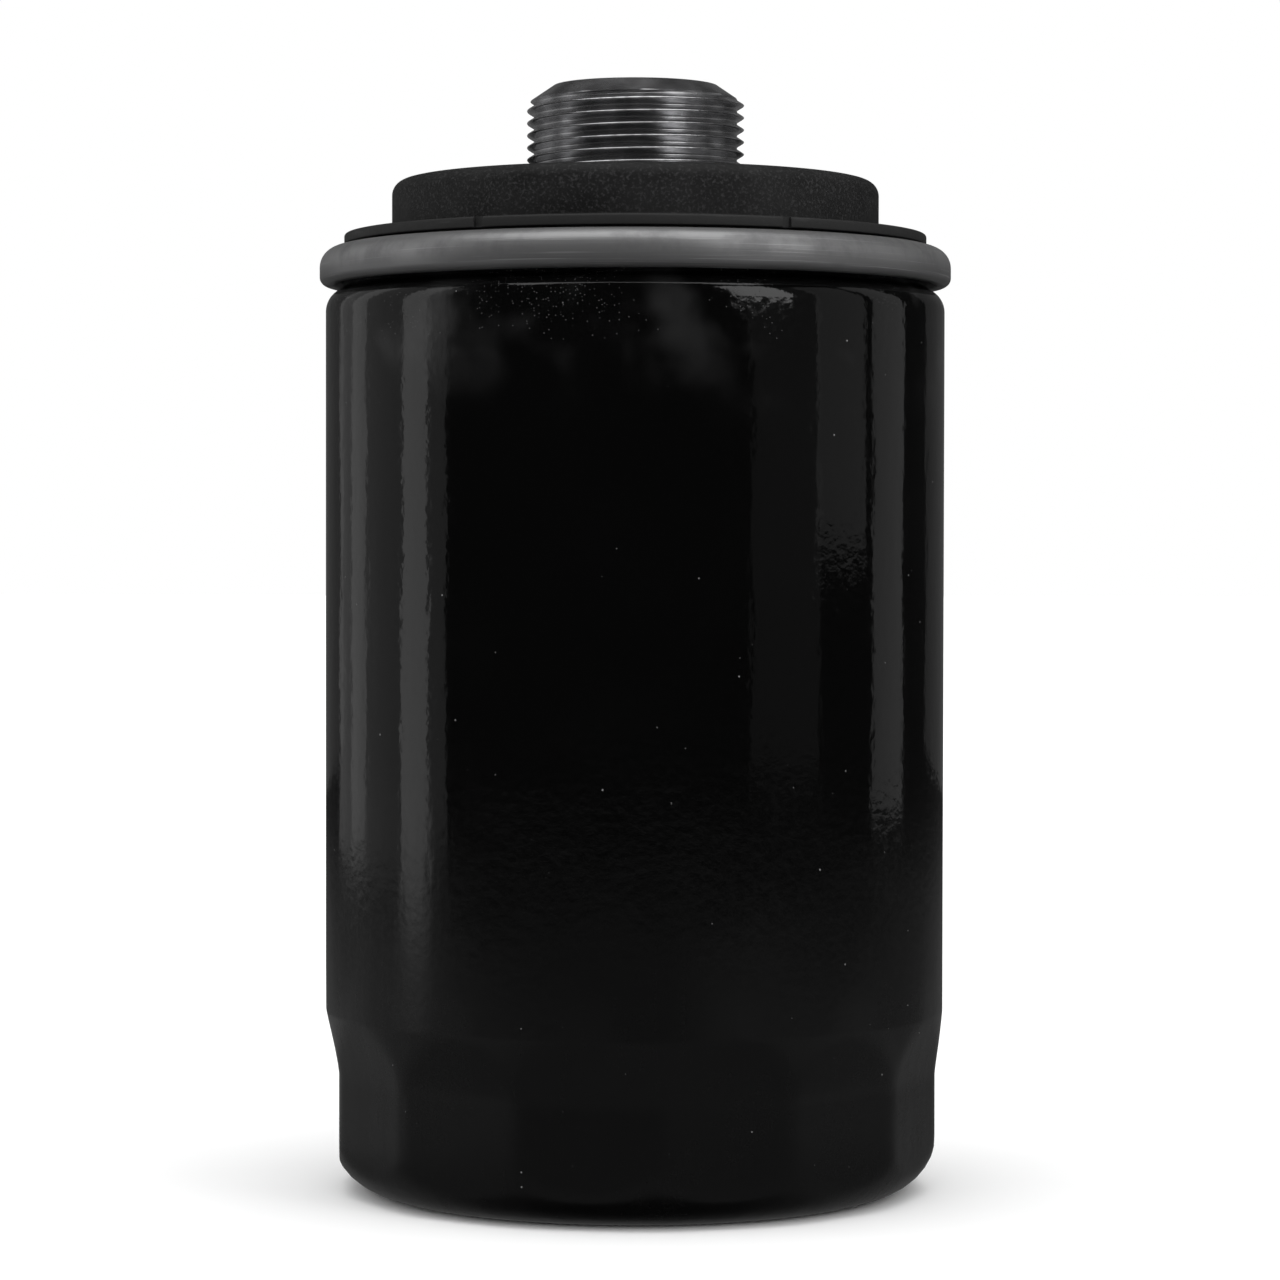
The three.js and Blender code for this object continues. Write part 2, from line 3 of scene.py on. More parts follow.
import bmesh
import bpy
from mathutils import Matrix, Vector


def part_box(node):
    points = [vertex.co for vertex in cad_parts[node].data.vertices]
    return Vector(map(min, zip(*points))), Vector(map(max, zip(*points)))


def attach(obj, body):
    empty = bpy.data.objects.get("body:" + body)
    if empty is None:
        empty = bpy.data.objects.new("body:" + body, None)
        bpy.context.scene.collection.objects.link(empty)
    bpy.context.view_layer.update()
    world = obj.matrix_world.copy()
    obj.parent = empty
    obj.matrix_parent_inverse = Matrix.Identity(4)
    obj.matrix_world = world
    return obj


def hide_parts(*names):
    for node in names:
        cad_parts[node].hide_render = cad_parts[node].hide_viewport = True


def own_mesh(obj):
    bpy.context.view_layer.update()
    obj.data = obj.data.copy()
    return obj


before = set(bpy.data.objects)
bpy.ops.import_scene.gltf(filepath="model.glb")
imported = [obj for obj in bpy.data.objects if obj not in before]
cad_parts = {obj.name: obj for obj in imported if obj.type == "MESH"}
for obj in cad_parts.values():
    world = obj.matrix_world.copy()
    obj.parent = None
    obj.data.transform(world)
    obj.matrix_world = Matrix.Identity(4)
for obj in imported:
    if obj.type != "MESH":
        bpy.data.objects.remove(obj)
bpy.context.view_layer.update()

# ---- Threaded stub ---------------------------------------------------------------------------
# A turned steel tube with a flange under the base plate and a rolled-over bead above it.
# Its M27 x 1.5 right-hand thread is rolled down to the bead and runs out at a lead chamfer.
MM = 0.001


class Socket:
    """A node's output, so that a formula written in Python becomes its Math nodes."""

    def __init__(self, nodes, plug):
        self.nodes = nodes
        self.plug = plug

    def maths(self, operation, *values):
        return self.nodes.add("ShaderNodeMath", {"operation": operation}, dict(enumerate(values)))

    def __add__(self, other):
        return self.maths("ADD", self, other)

    def __radd__(self, other):
        return self.maths("ADD", other, self)

    def __sub__(self, other):
        return self.maths("SUBTRACT", self, other)

    def __rsub__(self, other):
        return self.maths("SUBTRACT", other, self)

    def __mul__(self, other):
        return self.maths("MULTIPLY", self, other)

    def __rmul__(self, other):
        return self.maths("MULTIPLY", other, self)

    def __truediv__(self, other):
        return self.maths("DIVIDE", self, other)

    def __rtruediv__(self, other):
        return self.maths("DIVIDE", other, self)

    def __pow__(self, other):
        return self.maths("POWER", self, other)

    def least(self, other):
        return self.maths("MINIMUM", self, other)

    def most(self, other):
        return self.maths("MAXIMUM", self, other)

    def between(self, low, high):
        return self.most(low).least(high)

    def fraction(self):
        return self.maths("FRACT", self)

    def size(self):
        return self.maths("ABSOLUTE", self)


class Nodes:
    """A shader or geometry tree. add() makes any node from its settings and its sockets' values."""

    def __init__(self, tree):
        self.tree = tree

    def add(self, kind, settings=None, sockets=None, out=0):
        node = self.tree.nodes.new(kind)
        for name, value in (settings or {}).items():
            setattr(node, name, value)
        for name, value in (sockets or {}).items():
            self.feed(node.inputs[name], value)
        return Socket(self, node.outputs[out])

    def feed(self, plug, value):
        if isinstance(value, Socket):
            self.tree.links.new(value.plug, plug)
        else:
            plug.default_value = value

    def other(self, socket, name):
        return Socket(self, socket.plug.node.outputs[name])

    def vector(self, x, y, z):
        return self.add("ShaderNodeCombineXYZ", sockets={0: x, 1: y, 2: z})

    def band(self, value, low, high, to_low=0.0, to_high=1.0):
        settings = {"interpolation_type": "SMOOTHSTEP"}
        sockets = {"Value": value, "From Min": low, "From Max": high, "To Min": to_low, "To Max": to_high}
        return self.add("ShaderNodeMapRange", settings, sockets)

    def mixed(self, share, first, second):
        settings = {"data_type": "RGBA"}
        return self.add("ShaderNodeMix", settings, {0: share, 6: first, 7: second}, out=2)

    def serve(self, geometry, material):
        """Ends a geometry tree: instances made real, material set, result handed on."""
        real = self.add("GeometryNodeRealizeInstances", sockets={"Geometry": geometry})
        dressed = self.add("GeometryNodeSetMaterial", sockets={"Geometry": real, "Material": material})
        self.tree.links.new(dressed.plug, self.tree.nodes.new("NodeGroupOutput").inputs[0])


def quads(rows, joins, columns):
    """Four-sided faces that close the first joins gaps between columns of points."""
    faces = []
    for column in range(joins):
        here, there = column * rows, (column + 1) % columns * rows
        for row in range(rows):
            above = (row + 1) % rows
            faces.append((here + row, there + row, there + above, here + above))
    return faces


def spun(name, outline, sides, material=None, phase=0.0):
    """A closed outline of (radius, height) corners turned about Z, as a smooth closed mesh."""
    mesh = bpy.data.meshes.new(name)
    points = []
    for side in range(sides):
        angle = phase + 2 * math.pi * side / sides
        points += [(r * math.sin(angle), -r * math.cos(angle), z) for r, z in outline]
    mesh.from_pydata(points, [], quads(len(outline), sides, sides))
    if material:
        mesh.materials.append(material)
    close_up(mesh)
    piece = bpy.data.objects.new(name, mesh)
    bpy.context.collection.objects.link(piece)
    return piece


def close_up(mesh, nearness=1e-7):
    """Merges doubles and poles, turns the faces outwards and smooths all but the crisp edges."""
    work = bmesh.new()
    work.from_mesh(mesh)
    bmesh.ops.remove_doubles(work, verts=work.verts, dist=nearness)
    bmesh.ops.dissolve_degenerate(work, edges=work.edges, dist=nearness)
    if work.calc_volume(signed=True) < 0:
        bmesh.ops.reverse_faces(work, faces=work.faces)
    work.to_mesh(mesh)
    work.free()
    mesh.shade_smooth()
    mesh.set_sharp_from_angle(angle=math.radians(38))


def rounded(corners, steps=6):
    """An outline with its corners rounded. Each corner is (radius, height, bend radius)."""
    line = []
    for index, (r, z, bend) in enumerate(corners):
        here = Vector((r, z))
        if not bend:
            line.append((r, z))
            continue
        back = (Vector(corners[index - 1][:2]) - here).normalized()
        on = (Vector(corners[(index + 1) % len(corners)][:2]) - here).normalized()
        half = back.angle(on) / 2
        middle = here + (back + on).normalized() * bend / math.sin(half)
        start = here + back * bend / math.tan(half) - middle
        turn = math.pi - 2 * half
        way = 1 if back.x * on.y - back.y * on.x < 0 else -1
        for step in range(steps + 1):
            angle = way * turn * step / steps
            across = start.x * math.cos(angle) - start.y * math.sin(angle)
            up = start.x * math.sin(angle) + start.y * math.cos(angle)
            line.append((middle.x + across, middle.y + up))
    return line


def reshaped(piece, group, **sizes):
    """Runs a geometry tree on a piece and keeps the result as its plain mesh."""
    modifier = piece.modifiers.new(group.name, "NODES")
    modifier.node_group = group
    for item in group.interface.items_tree:
        if item.item_type == "SOCKET" and item.in_out == "INPUT" and item.name in sizes:
            modifier[item.identifier] = sizes[item.name]
    view = bpy.context.evaluated_depsgraph_get()
    mesh = bpy.data.meshes.new_from_object(piece.evaluated_get(view))
    piece.modifiers.remove(modifier)
    piece.data = mesh
    return piece


def recipe(name, *inputs):
    """An empty geometry tree with a Geometry input, named sizes and a Geometry output."""
    group = bpy.data.node_groups.new(name, "GeometryNodeTree")
    group.interface.new_socket("Geometry", in_out="INPUT", socket_type="NodeSocketGeometry")
    for label in inputs:
        group.interface.new_socket(label, in_out="INPUT", socket_type="NodeSocketFloat")
    group.interface.new_socket("Geometry", in_out="OUTPUT", socket_type="NodeSocketGeometry")
    nodes = Nodes(group)
    start = nodes.add("NodeGroupInput")
    return group, nodes, {label: nodes.other(start, label) for label in ("Geometry", *inputs)}


def fitted(piece, node, body):
    """Puts a finished piece in the place of its CAD node."""
    close_up(piece.data)
    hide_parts(node)
    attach(piece, body)


class Finish(Nodes):
    """A material. coords are the piece's own Object coordinates, in metres."""

    def __init__(self, name, **constants):
        self.material = bpy.data.materials.new(name)
        self.material.use_nodes = True
        super().__init__(self.material.node_tree)
        self.shader = self.tree.nodes["Principled BSDF"]
        for label, value in constants.items():
            self.shader.inputs[label.replace("_", " ")].default_value = value
        self.coords = self.add("ShaderNodeTexCoord", out=3)
        split = self.add("ShaderNodeSeparateXYZ", sockets={0: self.coords})
        self.x, self.y, self.z = (self.other(split, axis) for axis in "XYZ")

    def noise(self, scale, detail=2.0, vector=None, roughness=0.5):
        sockets = {"Vector": vector or self.coords, "Scale": scale, "Detail": detail, "Roughness": roughness}
        return self.add("ShaderNodeTexNoise", sockets=sockets)

    def wear(self, colour=None, roughness=None, height=None, strength=0.3, depth=0.0001):
        """Feeds what varies over the surface into the shader."""
        for label, value in (("Base Color", colour), ("Roughness", roughness)):
            if value is not None:
                self.feed(self.shader.inputs[label], value)
        if height is not None:
            sockets = {"Strength": strength, "Distance": depth, "Height": height}
            self.feed(self.shader.inputs["Normal"], self.add("ShaderNodeBump", sockets=sockets))
        return self.material

    def specks(self, scale, size, share):
        """1 in small spots scattered over the surface, with share as the part of the cells that have one."""
        cell = self.add("ShaderNodeTexVoronoi", sockets={"Vector": self.coords, "Scale": scale})
        chance = self.add("ShaderNodeSeparateColor", sockets={0: self.other(cell, "Color")})
        return self.band(cell, size, size * 0.5) * self.band(chance, 1 - share, 1 - share + 0.001)


stub_low, stub_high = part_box("threaded_stub")
stub_top = stub_high.z
stub_bottom = stub_low.z
crest_radius = 13.35 * MM
thread_depth = 0.88 * MM
thread_pitch = 1.5 * MM
bore_radius = 8.6 * MM
flange_radius = stub_high.x
spigot_radius = 11.3 * MM
shank_radius = 12.32 * MM
bead_radius = 14.0 * MM
spigot_length = 4.9 * MM
plate_low, plate_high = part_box("base_plate")
fit_gap = 0.35 * MM
bead_bottom = plate_high.z + fit_gap
bead_top = bead_bottom + 1.0 * MM
lead_radius = bore_radius + 1.5 * MM
rows_per_turn = 20
lead_slope = 1.47
flank_gain = 1.38
flank_drop = 0.28
root_rounding = 0.35
crest_rounding = 0.15

wound, tree, given = recipe("wind_thread", "Base", "Top", "Pitch", "Root", "Depth", "Lead Radius")
place = tree.add("GeometryNodeInputPosition")
split = tree.add("ShaderNodeSeparateXYZ", sockets={0: place})
angle, height, radius = (tree.other(split, axis) for axis in "XYZ")
is_thread = tree.add("GeometryNodeInputNamedAttribute", {"data_type": "FLOAT"}, {0: "thread"})
climb = given["Pitch"] * angle / (2 * math.pi)
high = (height + climb * is_thread).most(given["Base"]).least(given["Top"])
high = high * is_thread + height * (1 - is_thread)
phase = ((high - climb) / given["Pitch"]).fraction()
flank = (1 - (2 * phase - 1).size()) * flank_gain - flank_drop
rooted = flank.maths("SMOOTH_MAX", flank, 0.0, root_rounding)
crowned = rooted.maths("SMOOTH_MIN", rooted, 1.0, crest_rounding).most(0.0)
cut = given["Root"] + given["Depth"] * crowned
lead = given["Lead Radius"] + (given["Top"] - high) * lead_slope
r = cut.least(lead) * is_thread + radius * (1 - is_thread)
x = r * r.maths("SINE", angle)
y = 0 - r * r.maths("COSINE", angle)
where = tree.vector(x, y, high)
turned = tree.add("GeometryNodeSetPosition", sockets={"Geometry": given["Geometry"], "Position": where})
joined = tree.add("GeometryNodeMergeByDistance", sockets={"Geometry": turned, "Distance": 1e-7})

steel = Finish("turned_steel", Metallic=0.96)
round_marks = steel.noise(1.0, 3.0, steel.vector(steel.x * 60, steel.y * 60, steel.z * 9000))
mottle = steel.noise(260, 4.0)
away = (steel.x * steel.x + steel.y * steel.y) ** 0.5
# Painted highlight: the thread's crests get a lighter base colour, standing in for light caught on the
# crests. Noise breaks the highlight up, and the same noise also makes small chip bumps.
crest_highlight = steel.band(away, crest_radius - 0.45 * MM, crest_radius - 0.02 * MM)
chips_and_crest_glint = steel.noise(1.0, 4.0, steel.vector(steel.x * 700, steel.y * 700, steel.z * 1600), 0.65)
tone_and_crest_highlight = steel.band(mottle, 0.3, 0.7, 0.30, 0.54) + crest_highlight * steel.band(chips_and_crest_glint, 0.30, 0.60) * 0.25
shine = steel.vector(tone_and_crest_highlight, tone_and_crest_highlight, tone_and_crest_highlight * 1.02)
turned_steel = steel.wear(
    shine, 0.20 + mottle * 0.10, round_marks * 0.5 + mottle + chips_and_crest_glint * 0.5, 0.4, 0.00003
)
tree.serve(joined, turned_steel)

body = [
    (bore_radius, stub_bottom, 0.3 * MM),
    (spigot_radius, stub_bottom, 0.5 * MM),
    (spigot_radius, stub_bottom + spigot_length, 0.3 * MM),
    (flange_radius, stub_bottom + spigot_length, 0.4 * MM),
    (flange_radius, plate_low.z - fit_gap, 0.4 * MM),
    (shank_radius, plate_low.z - fit_gap, 0),
    (shank_radius, bead_bottom, 0.1 * MM),
    (bead_radius, bead_bottom, 0.3 * MM),
    (bead_radius, bead_top - 0.35 * MM, 0.3 * MM),
    (crest_radius - thread_depth, bead_top, 0),
]
body_line = rounded(body, 4)[:-1]
turns = (stub_top - bead_top) / thread_pitch
thread_rows = math.ceil((turns + 1) * rows_per_turn)
strip = [(r, z, 0.0) for r, z in body_line]
thread_start = bead_top - thread_pitch
row_rise = thread_pitch / rows_per_turn
strip += [(crest_radius, thread_start + row * row_rise, 1.0) for row in range(thread_rows + 1)]
strip += [(bore_radius + 0.25 * MM, stub_top, 0.0), (bore_radius, stub_top - 0.25 * MM, 0.0)]
columns = 160
mesh = bpy.data.meshes.new("stub_strip")
points = [(2 * math.pi * column / columns, z, r) for column in range(columns + 1) for r, z, _ in strip]
mesh.from_pydata(points, [], quads(len(strip), columns, columns + 1))
mark = mesh.attributes.new("thread", "FLOAT", "POINT")
mark.data.foreach_set("value", [on for _ in range(columns + 1) for _, _, on in strip])
stub = bpy.data.objects.new("stub", mesh)
bpy.context.collection.objects.link(stub)
reshaped(
    stub,
    wound,
    Base=bead_top,
    Top=stub_top,
    Pitch=thread_pitch,
    Root=crest_radius - thread_depth,
    Depth=thread_depth,
    **{"Lead Radius": lead_radius},
)
stub.data.attributes.remove(stub.data.attributes["thread"])
fitted(stub, "threaded_stub", "housing")

# ---- Base plate ------------------------------------------------------------------------------
# A thick disc blanked from steel, with a ring of inlet holes that let the dirty oil in. The stub's
# flange and bead grip its middle.


def grey(level):
    return (level, level, level, 1)


def ring_of_points(tree, count, radius, height):
    """Points spaced evenly round the axis."""
    ring = tree.add("GeometryNodeMeshCircle", sockets={"Vertices": count, "Radius": radius})
    sockets = {"Geometry": ring, "Translation": tree.vector(0.0, 0.0, height)}
    return tree.add("GeometryNodeTransform", sockets=sockets)


def cut_out(tree, body, punches):
    """Takes every copy of a closed solid out of a body."""
    solids = tree.add("GeometryNodeRealizeInstances", sockets={"Geometry": punches})
    settings = {"operation": "DIFFERENCE", "solver": "MANIFOLD"}
    return tree.add("GeometryNodeMeshBoolean", settings, {"Mesh 1": body, "Mesh 2": solids})


hole_radius = 2.8 * MM
hole_circle = 20.25 * MM
hole_count = 8
plate_radius = plate_high.x
plate_bore = shank_radius + fit_gap

pierced, tree, given = recipe("pierce_plate", "Holes", "Circle", "Hole Radius", "Height", "Thickness")
spots = ring_of_points(tree, given["Holes"], given["Circle"], given["Height"])
punch_sizes = {"Vertices": 48, "Radius": given["Hole Radius"], "Depth": given["Thickness"] * 2}
punch = tree.add("GeometryNodeMeshCylinder", sockets=punch_sizes)
punches = tree.add("GeometryNodeInstanceOnPoints", sockets={"Points": spots, "Instance": punch})
holed = cut_out(tree, given["Geometry"], punches)

plate_finish = Finish("blanked_steel", Metallic=0.9)
scale_marks = plate_finish.noise(420, 5.0)
oil = plate_finish.noise(70, 3.0)
oiled = plate_finish.band(oil, 0.4, 0.65)
plate_tone = plate_finish.mixed(oiled, grey(0.14), (0.26, 0.255, 0.25, 1))
tree.serve(holed, plate_finish.wear(plate_tone, 0.32 + scale_marks * 0.2, scale_marks, 0.3, 0.00004))

plate_line = rounded([
    (plate_bore, plate_low.z, 0.2 * MM),
    (plate_radius, plate_low.z, 0.5 * MM),
    (plate_radius, plate_high.z, 0.5 * MM),
    (plate_bore, plate_high.z, 0.2 * MM),
], 3)
plate = spun("plate", plate_line, 120)
reshaped(
    plate,
    pierced,
    Holes=hole_count,
    Circle=hole_circle,
    Height=(plate_low.z + plate_high.z) / 2,
    Thickness=plate_high.z - plate_low.z,
    **{"Hole Radius": hole_radius},
)
fitted(plate, "base_plate", "housing")

# ---- Anti-drainback valve --------------------------------------------------------------------
# A soft nitrile skirt that lies over the inlet holes from inside and keeps the oil in when the
# engine stops. Its cuff is stretched over the neck of the element's top cap.
skirt_sheet = 1.2 * MM
skirt_low, skirt_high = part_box("anti_drainback_valve")
top_cap_low, top_cap_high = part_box("top_end_cap")
cuff_radius = shank_radius + 2.83 * MM
cuff_top = top_cap_high.z - 0.3 * MM


def beside(line, distance):
    """Moves an open line sideways, to its left for a positive distance."""
    moved = []
    for index, here in enumerate(line):
        before = Vector(line[max(index - 1, 0)])
        after = Vector(line[min(index + 1, len(line) - 1)])
        ways = [Vector(here) - before, after - Vector(here)]
        sides = [Vector((-way.y, way.x)).normalized() for way in ways if way.length > 0]
        shift = (sides[0] + sides[-1]) / (1 + sides[0].dot(sides[-1])) * distance
        moved.append((here[0] + shift.x, here[1] + shift.y))
    return moved


def pressed(corners, thickness, steps=6):
    """Outline of bent sheet. One face follows the corners and the other lies to its left."""
    face = rounded(corners, steps)
    return face + beside(face, thickness)[::-1]


nitrile = Finish("moulded_nitrile", IOR=1.5)
grain = nitrile.noise(2800, 2.0, roughness=0.7)
patch = nitrile.noise(120, 4.0, roughness=0.6)
bloom = nitrile.band(patch, 0.40, 0.72)
chalk = nitrile.specks(3200, 0.28, 0.03)
rubber_base = nitrile.mixed(bloom, (0.0028, 0.0028, 0.0029, 1), (0.0068, 0.0068, 0.0070, 1))
rubber_grain = nitrile.mixed(nitrile.band(grain, 0.48, 0.72) * 0.6, rubber_base, (0.034, 0.034, 0.035, 1))
rubber_tone = nitrile.mixed(chalk * 0.4, rubber_grain, grey(0.075))
rubber = nitrile.wear(rubber_tone, 0.62 + grain * 0.2, grain + patch * 0.5, 0.6, 0.00005)

skirt = spun("skirt", pressed([
    (cuff_radius, skirt_low.z, 0),
    (cuff_radius, cuff_top, 0.8 * MM),
    (skirt_high.x - 1.8 * MM, skirt_high.z, 0.8 * MM),
    (skirt_high.x, skirt_high.z, 0),
], -skirt_sheet), 120, rubber)
fitted(skirt, "anti_drainback_valve", "element")

# ---- Element seal ----------------------------------------------------------------------------
# A nitrile grommet pushed into the top cap's neck. It slides on the stub's spigot, so that no
# oil slips past the paper.
seal_low, seal_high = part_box("element_seal")
seal_bore = spigot_radius + fit_gap
grommet = spun("grommet", rounded([
    (seal_bore, seal_low.z, 0.5 * MM),
    (seal_bore + 2.2 * MM, seal_low.z, 0.4 * MM),
    (seal_bore + 2.2 * MM, top_cap_high.z + fit_gap, 0),
    (seal_high.x, top_cap_high.z + fit_gap, 0.3 * MM),
    (seal_high.x, seal_high.z, 0.5 * MM),
    (seal_bore, seal_high.z, 0.5 * MM),
], 4), 96, rubber)
fitted(grommet, "element_seal", "element")

# ---- Pleated media ---------------------------------------------------------------------------
# Resin-treated cellulose paper folded into 32 pleats and closed into a ring. The pleats are one
# ribbon that runs from fold to fold, with rounded folds.
media_low, media_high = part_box("pleated_media")
media_sheet = 0.45 * MM
paper_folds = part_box("lower_adhesive")[1].x - 0.6 * MM
tube_low, tube_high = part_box("centre_tube")
tube_radius = tube_high.x
media_bore = tube_radius + fit_gap + 1.1 * MM
half_fold = 0.23
fold_pinch = 0.02


def polar(tree, reach, bearing, height):
    """The point at a distance from the axis, a bearing from +X and a height."""
    return tree.vector(reach * reach.maths("COSINE", bearing), reach * reach.maths("SINE", bearing), height)


folded, tree, given = recipe(
    "fold_paper", "Pleats", "Outer Radius", "Inner Radius", "Sheet", "Height", "Middle", "Fold"
)
circle_sizes = {"Vertices": given["Pleats"] * 4, "Radius": given["Outer Radius"]}
corners = tree.add("GeometryNodeMeshCircle", sockets=circle_sizes)
index = tree.add("GeometryNodeInputIndex") + 0
pleat = (index / 4).maths("FLOOR", index / 4)
corner = index - pleat * 4
inner = corner.maths("GREATER_THAN", corner, 1.5)
side = (corner - inner * 2) * 2 - 1
share = pleat + inner * 0.5 + side * (half_fold - inner * fold_pinch)
bearing = share * 2 * math.pi / given["Pleats"]
reach = given["Outer Radius"] + (given["Inner Radius"] - given["Outer Radius"]) * inner
spot = polar(tree, reach, bearing, given["Middle"])
placed = tree.add("GeometryNodeSetPosition", sockets={"Geometry": corners, "Position": spot})
path = tree.add("GeometryNodeMeshToCurve", sockets={"Mesh": placed})
bent_sizes = {"Curve": path, "Radius": given["Fold"], "Count": 5}
bent = tree.add("GeometryNodeFilletCurve", {"mode": "POLY"}, bent_sizes)
upright = tree.add("GeometryNodeSetCurveNormal", {"mode": "Z_UP"}, {"Curve": bent})
strip = tree.add(
    "GeometryNodeCurvePrimitiveQuadrilateral", sockets={"Width": given["Sheet"], "Height": given["Height"]}
)
ribbon = tree.add("GeometryNodeCurveToMesh", sockets={"Curve": upright, "Profile Curve": strip})

paper = Finish("filter_paper", Roughness=0.95)
fibre = paper.noise(1.0, 4.0, paper.vector(paper.x * 900, paper.y * 900, paper.z * 2600), 0.7)
cloud = paper.noise(160, 3.0)
emboss = paper.add("ShaderNodeTexVoronoi", sockets={"Vector": paper.coords, "Scale": 420})
paper_tone = paper.mixed(paper.band(cloud, 0.35, 0.7), (0.56, 0.40, 0.19, 1), (0.66, 0.50, 0.27, 1))
fibre_tone = paper.mixed(paper.band(fibre, 0.5, 0.75) * 0.5, paper_tone, (0.40, 0.26, 0.11, 1))
tree.serve(ribbon, paper.wear(fibre_tone, None, fibre + emboss * 0.6, 0.5, 0.0001))

media = bpy.data.objects.new("media", bpy.data.meshes.new("media"))
bpy.context.collection.objects.link(media)
reshaped(media, folded, Pleats=32, Sheet=media_sheet, Fold=0.75 * MM, Middle=(media_low.z + media_high.z) / 2,
         Height=media_high.z - media_low.z, **{"Outer Radius": paper_folds, "Inner Radius": media_bore})
fitted(media, "pleated_media", "element")

# ---- Pleat seam clip -------------------------------------------------------------------------
# A tinplate channel crimped over the fold where the two ends of the paper meet. Its shape is the
# CAD node's own, and only its finish is set here.
tinplate = Finish("tinplate", Metallic=1.0)
spangle = tinplate.add("ShaderNodeTexVoronoi", sockets={"Vector": tinplate.coords, "Scale": 260})
frost = tinplate.noise(900, 4.0)
rolled = tinplate.noise(1.0, 3.0, tinplate.vector(tinplate.x * 2200, tinplate.y * 60, tinplate.z * 60))
tin_tone = tinplate.mixed(tinplate.band(spangle, 0.1, 0.6), (0.50, 0.51, 0.52, 1), (0.66, 0.67, 0.68, 1))
tin = tinplate.wear(tin_tone, 0.24 + frost * 0.22, rolled + frost * 0.5, 0.25, 0.00003)
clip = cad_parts["pleat_seam_clip"]
clip.data.materials.clear()
clip.data.materials.append(tin)

# ---- Centre tube -----------------------------------------------------------------------------
# A rolled tinplate tube with rows of punched slots, each row turned half a step. It keeps the
# paper from being pushed in and lets the clean oil up to the stub.
slot_rows = 6
slots_per_row = 6
cage_low, cage_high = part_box("bypass_cage")
slot_edge = 3 * MM
first_height = cage_high.z + slot_edge

punched, tree, given = recipe(
    "punch_slots", "Rows", "Per Row", "Lowest", "Highest", "Width", "Height", "Corner", "Reach"
)
blanks = tree.add("GeometryNodeMeshLine", sockets={"Count": given["Rows"] * given["Per Row"]})
index = tree.add("GeometryNodeInputIndex") + 0
row = index.maths("FLOOR", index / given["Per Row"])
odd = row.maths("MODULO", row, 2.0)
bearing = (index + odd * 0.5) * 2 * math.pi / given["Per Row"]
level = given["Lowest"] + (given["Highest"] - given["Lowest"]) * (row + 0.5) / given["Rows"]
spot = tree.vector(0.0, 0.0, level)
spread = tree.add("GeometryNodeSetPosition", sockets={"Geometry": blanks, "Position": spot})
mouth = tree.add(
    "GeometryNodeCurvePrimitiveQuadrilateral", sockets={"Width": given["Width"], "Height": given["Height"]}
)
eased_sizes = {"Curve": mouth, "Radius": given["Corner"], "Count": 5}
eased = tree.add("GeometryNodeFilletCurve", {"mode": "POLY"}, eased_sizes)
far_end = tree.vector(given["Reach"], 0.0, 0.0)
stroke = tree.add("GeometryNodeCurvePrimitiveLine", sockets={"Start": (0.001, 0, 0), "End": far_end})
level_stroke = tree.add("GeometryNodeSetCurveNormal", {"mode": "Z_UP"}, {"Curve": stroke})
swept = {"Curve": level_stroke, "Profile Curve": eased, "Fill Caps": True}
punch = tree.add("GeometryNodeCurveToMesh", sockets=swept)
facing = tree.vector(0.0, 0.0, bearing)
punches = tree.add(
    "GeometryNodeInstanceOnPoints", sockets={"Points": spread, "Instance": punch, "Rotation": facing}
)
open_tube = cut_out(tree, given["Geometry"], punches)
tree.serve(open_tube, tin)

tube = spun("tube", [
    (tube_radius - 0.6 * MM, tube_low.z),
    (tube_radius, tube_low.z),
    (tube_radius, tube_high.z),
    (tube_radius - 0.6 * MM, tube_high.z),
], 96)
reshaped(tube, punched, Rows=slot_rows, Lowest=first_height, Highest=tube_high.z - slot_edge, Width=3.4 * MM,
         Height=5 * MM, Corner=1.2 * MM, Reach=tube_radius + 2 * MM, **{"Per Row": slots_per_row})
fitted(tube, "centre_tube", "element")

# ---- Adhesive --------------------------------------------------------------------------------
# A bed of plastisol in each end cap. It is poured in and cured with the paper and the tube
# standing in it, and holds their ends.
plastisol = Finish("plastisol", Roughness=0.42, IOR=1.5)
swirl = plastisol.noise(180, 4.0, roughness=0.6)
bubble = plastisol.specks(700, 0.35, 0.12)
glue_tone = plastisol.mixed(plastisol.band(swirl, 0.35, 0.7), (0.42, 0.28, 0.13, 1), (0.52, 0.38, 0.20, 1))
glue_shade = plastisol.mixed(bubble * 0.6, glue_tone, (0.24, 0.15, 0.06, 1))
glue = plastisol.wear(glue_shade, None, swirl - bubble * 0.6, 0.4, 0.0003)
for name in ("upper_adhesive", "lower_adhesive"):
    low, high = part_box(name)
    bed = spun(name.replace("adhesive", "bed"), rounded([
        (tube_radius + fit_gap, low.z, 0.4 * MM),
        (paper_folds + 0.6 * MM, low.z, 0.4 * MM),
        (paper_folds + 0.6 * MM, high.z, 0.4 * MM),
        (tube_radius + fit_gap, high.z, 0.4 * MM),
    ], 3), 120, glue)
    fitted(bed, name, "element")

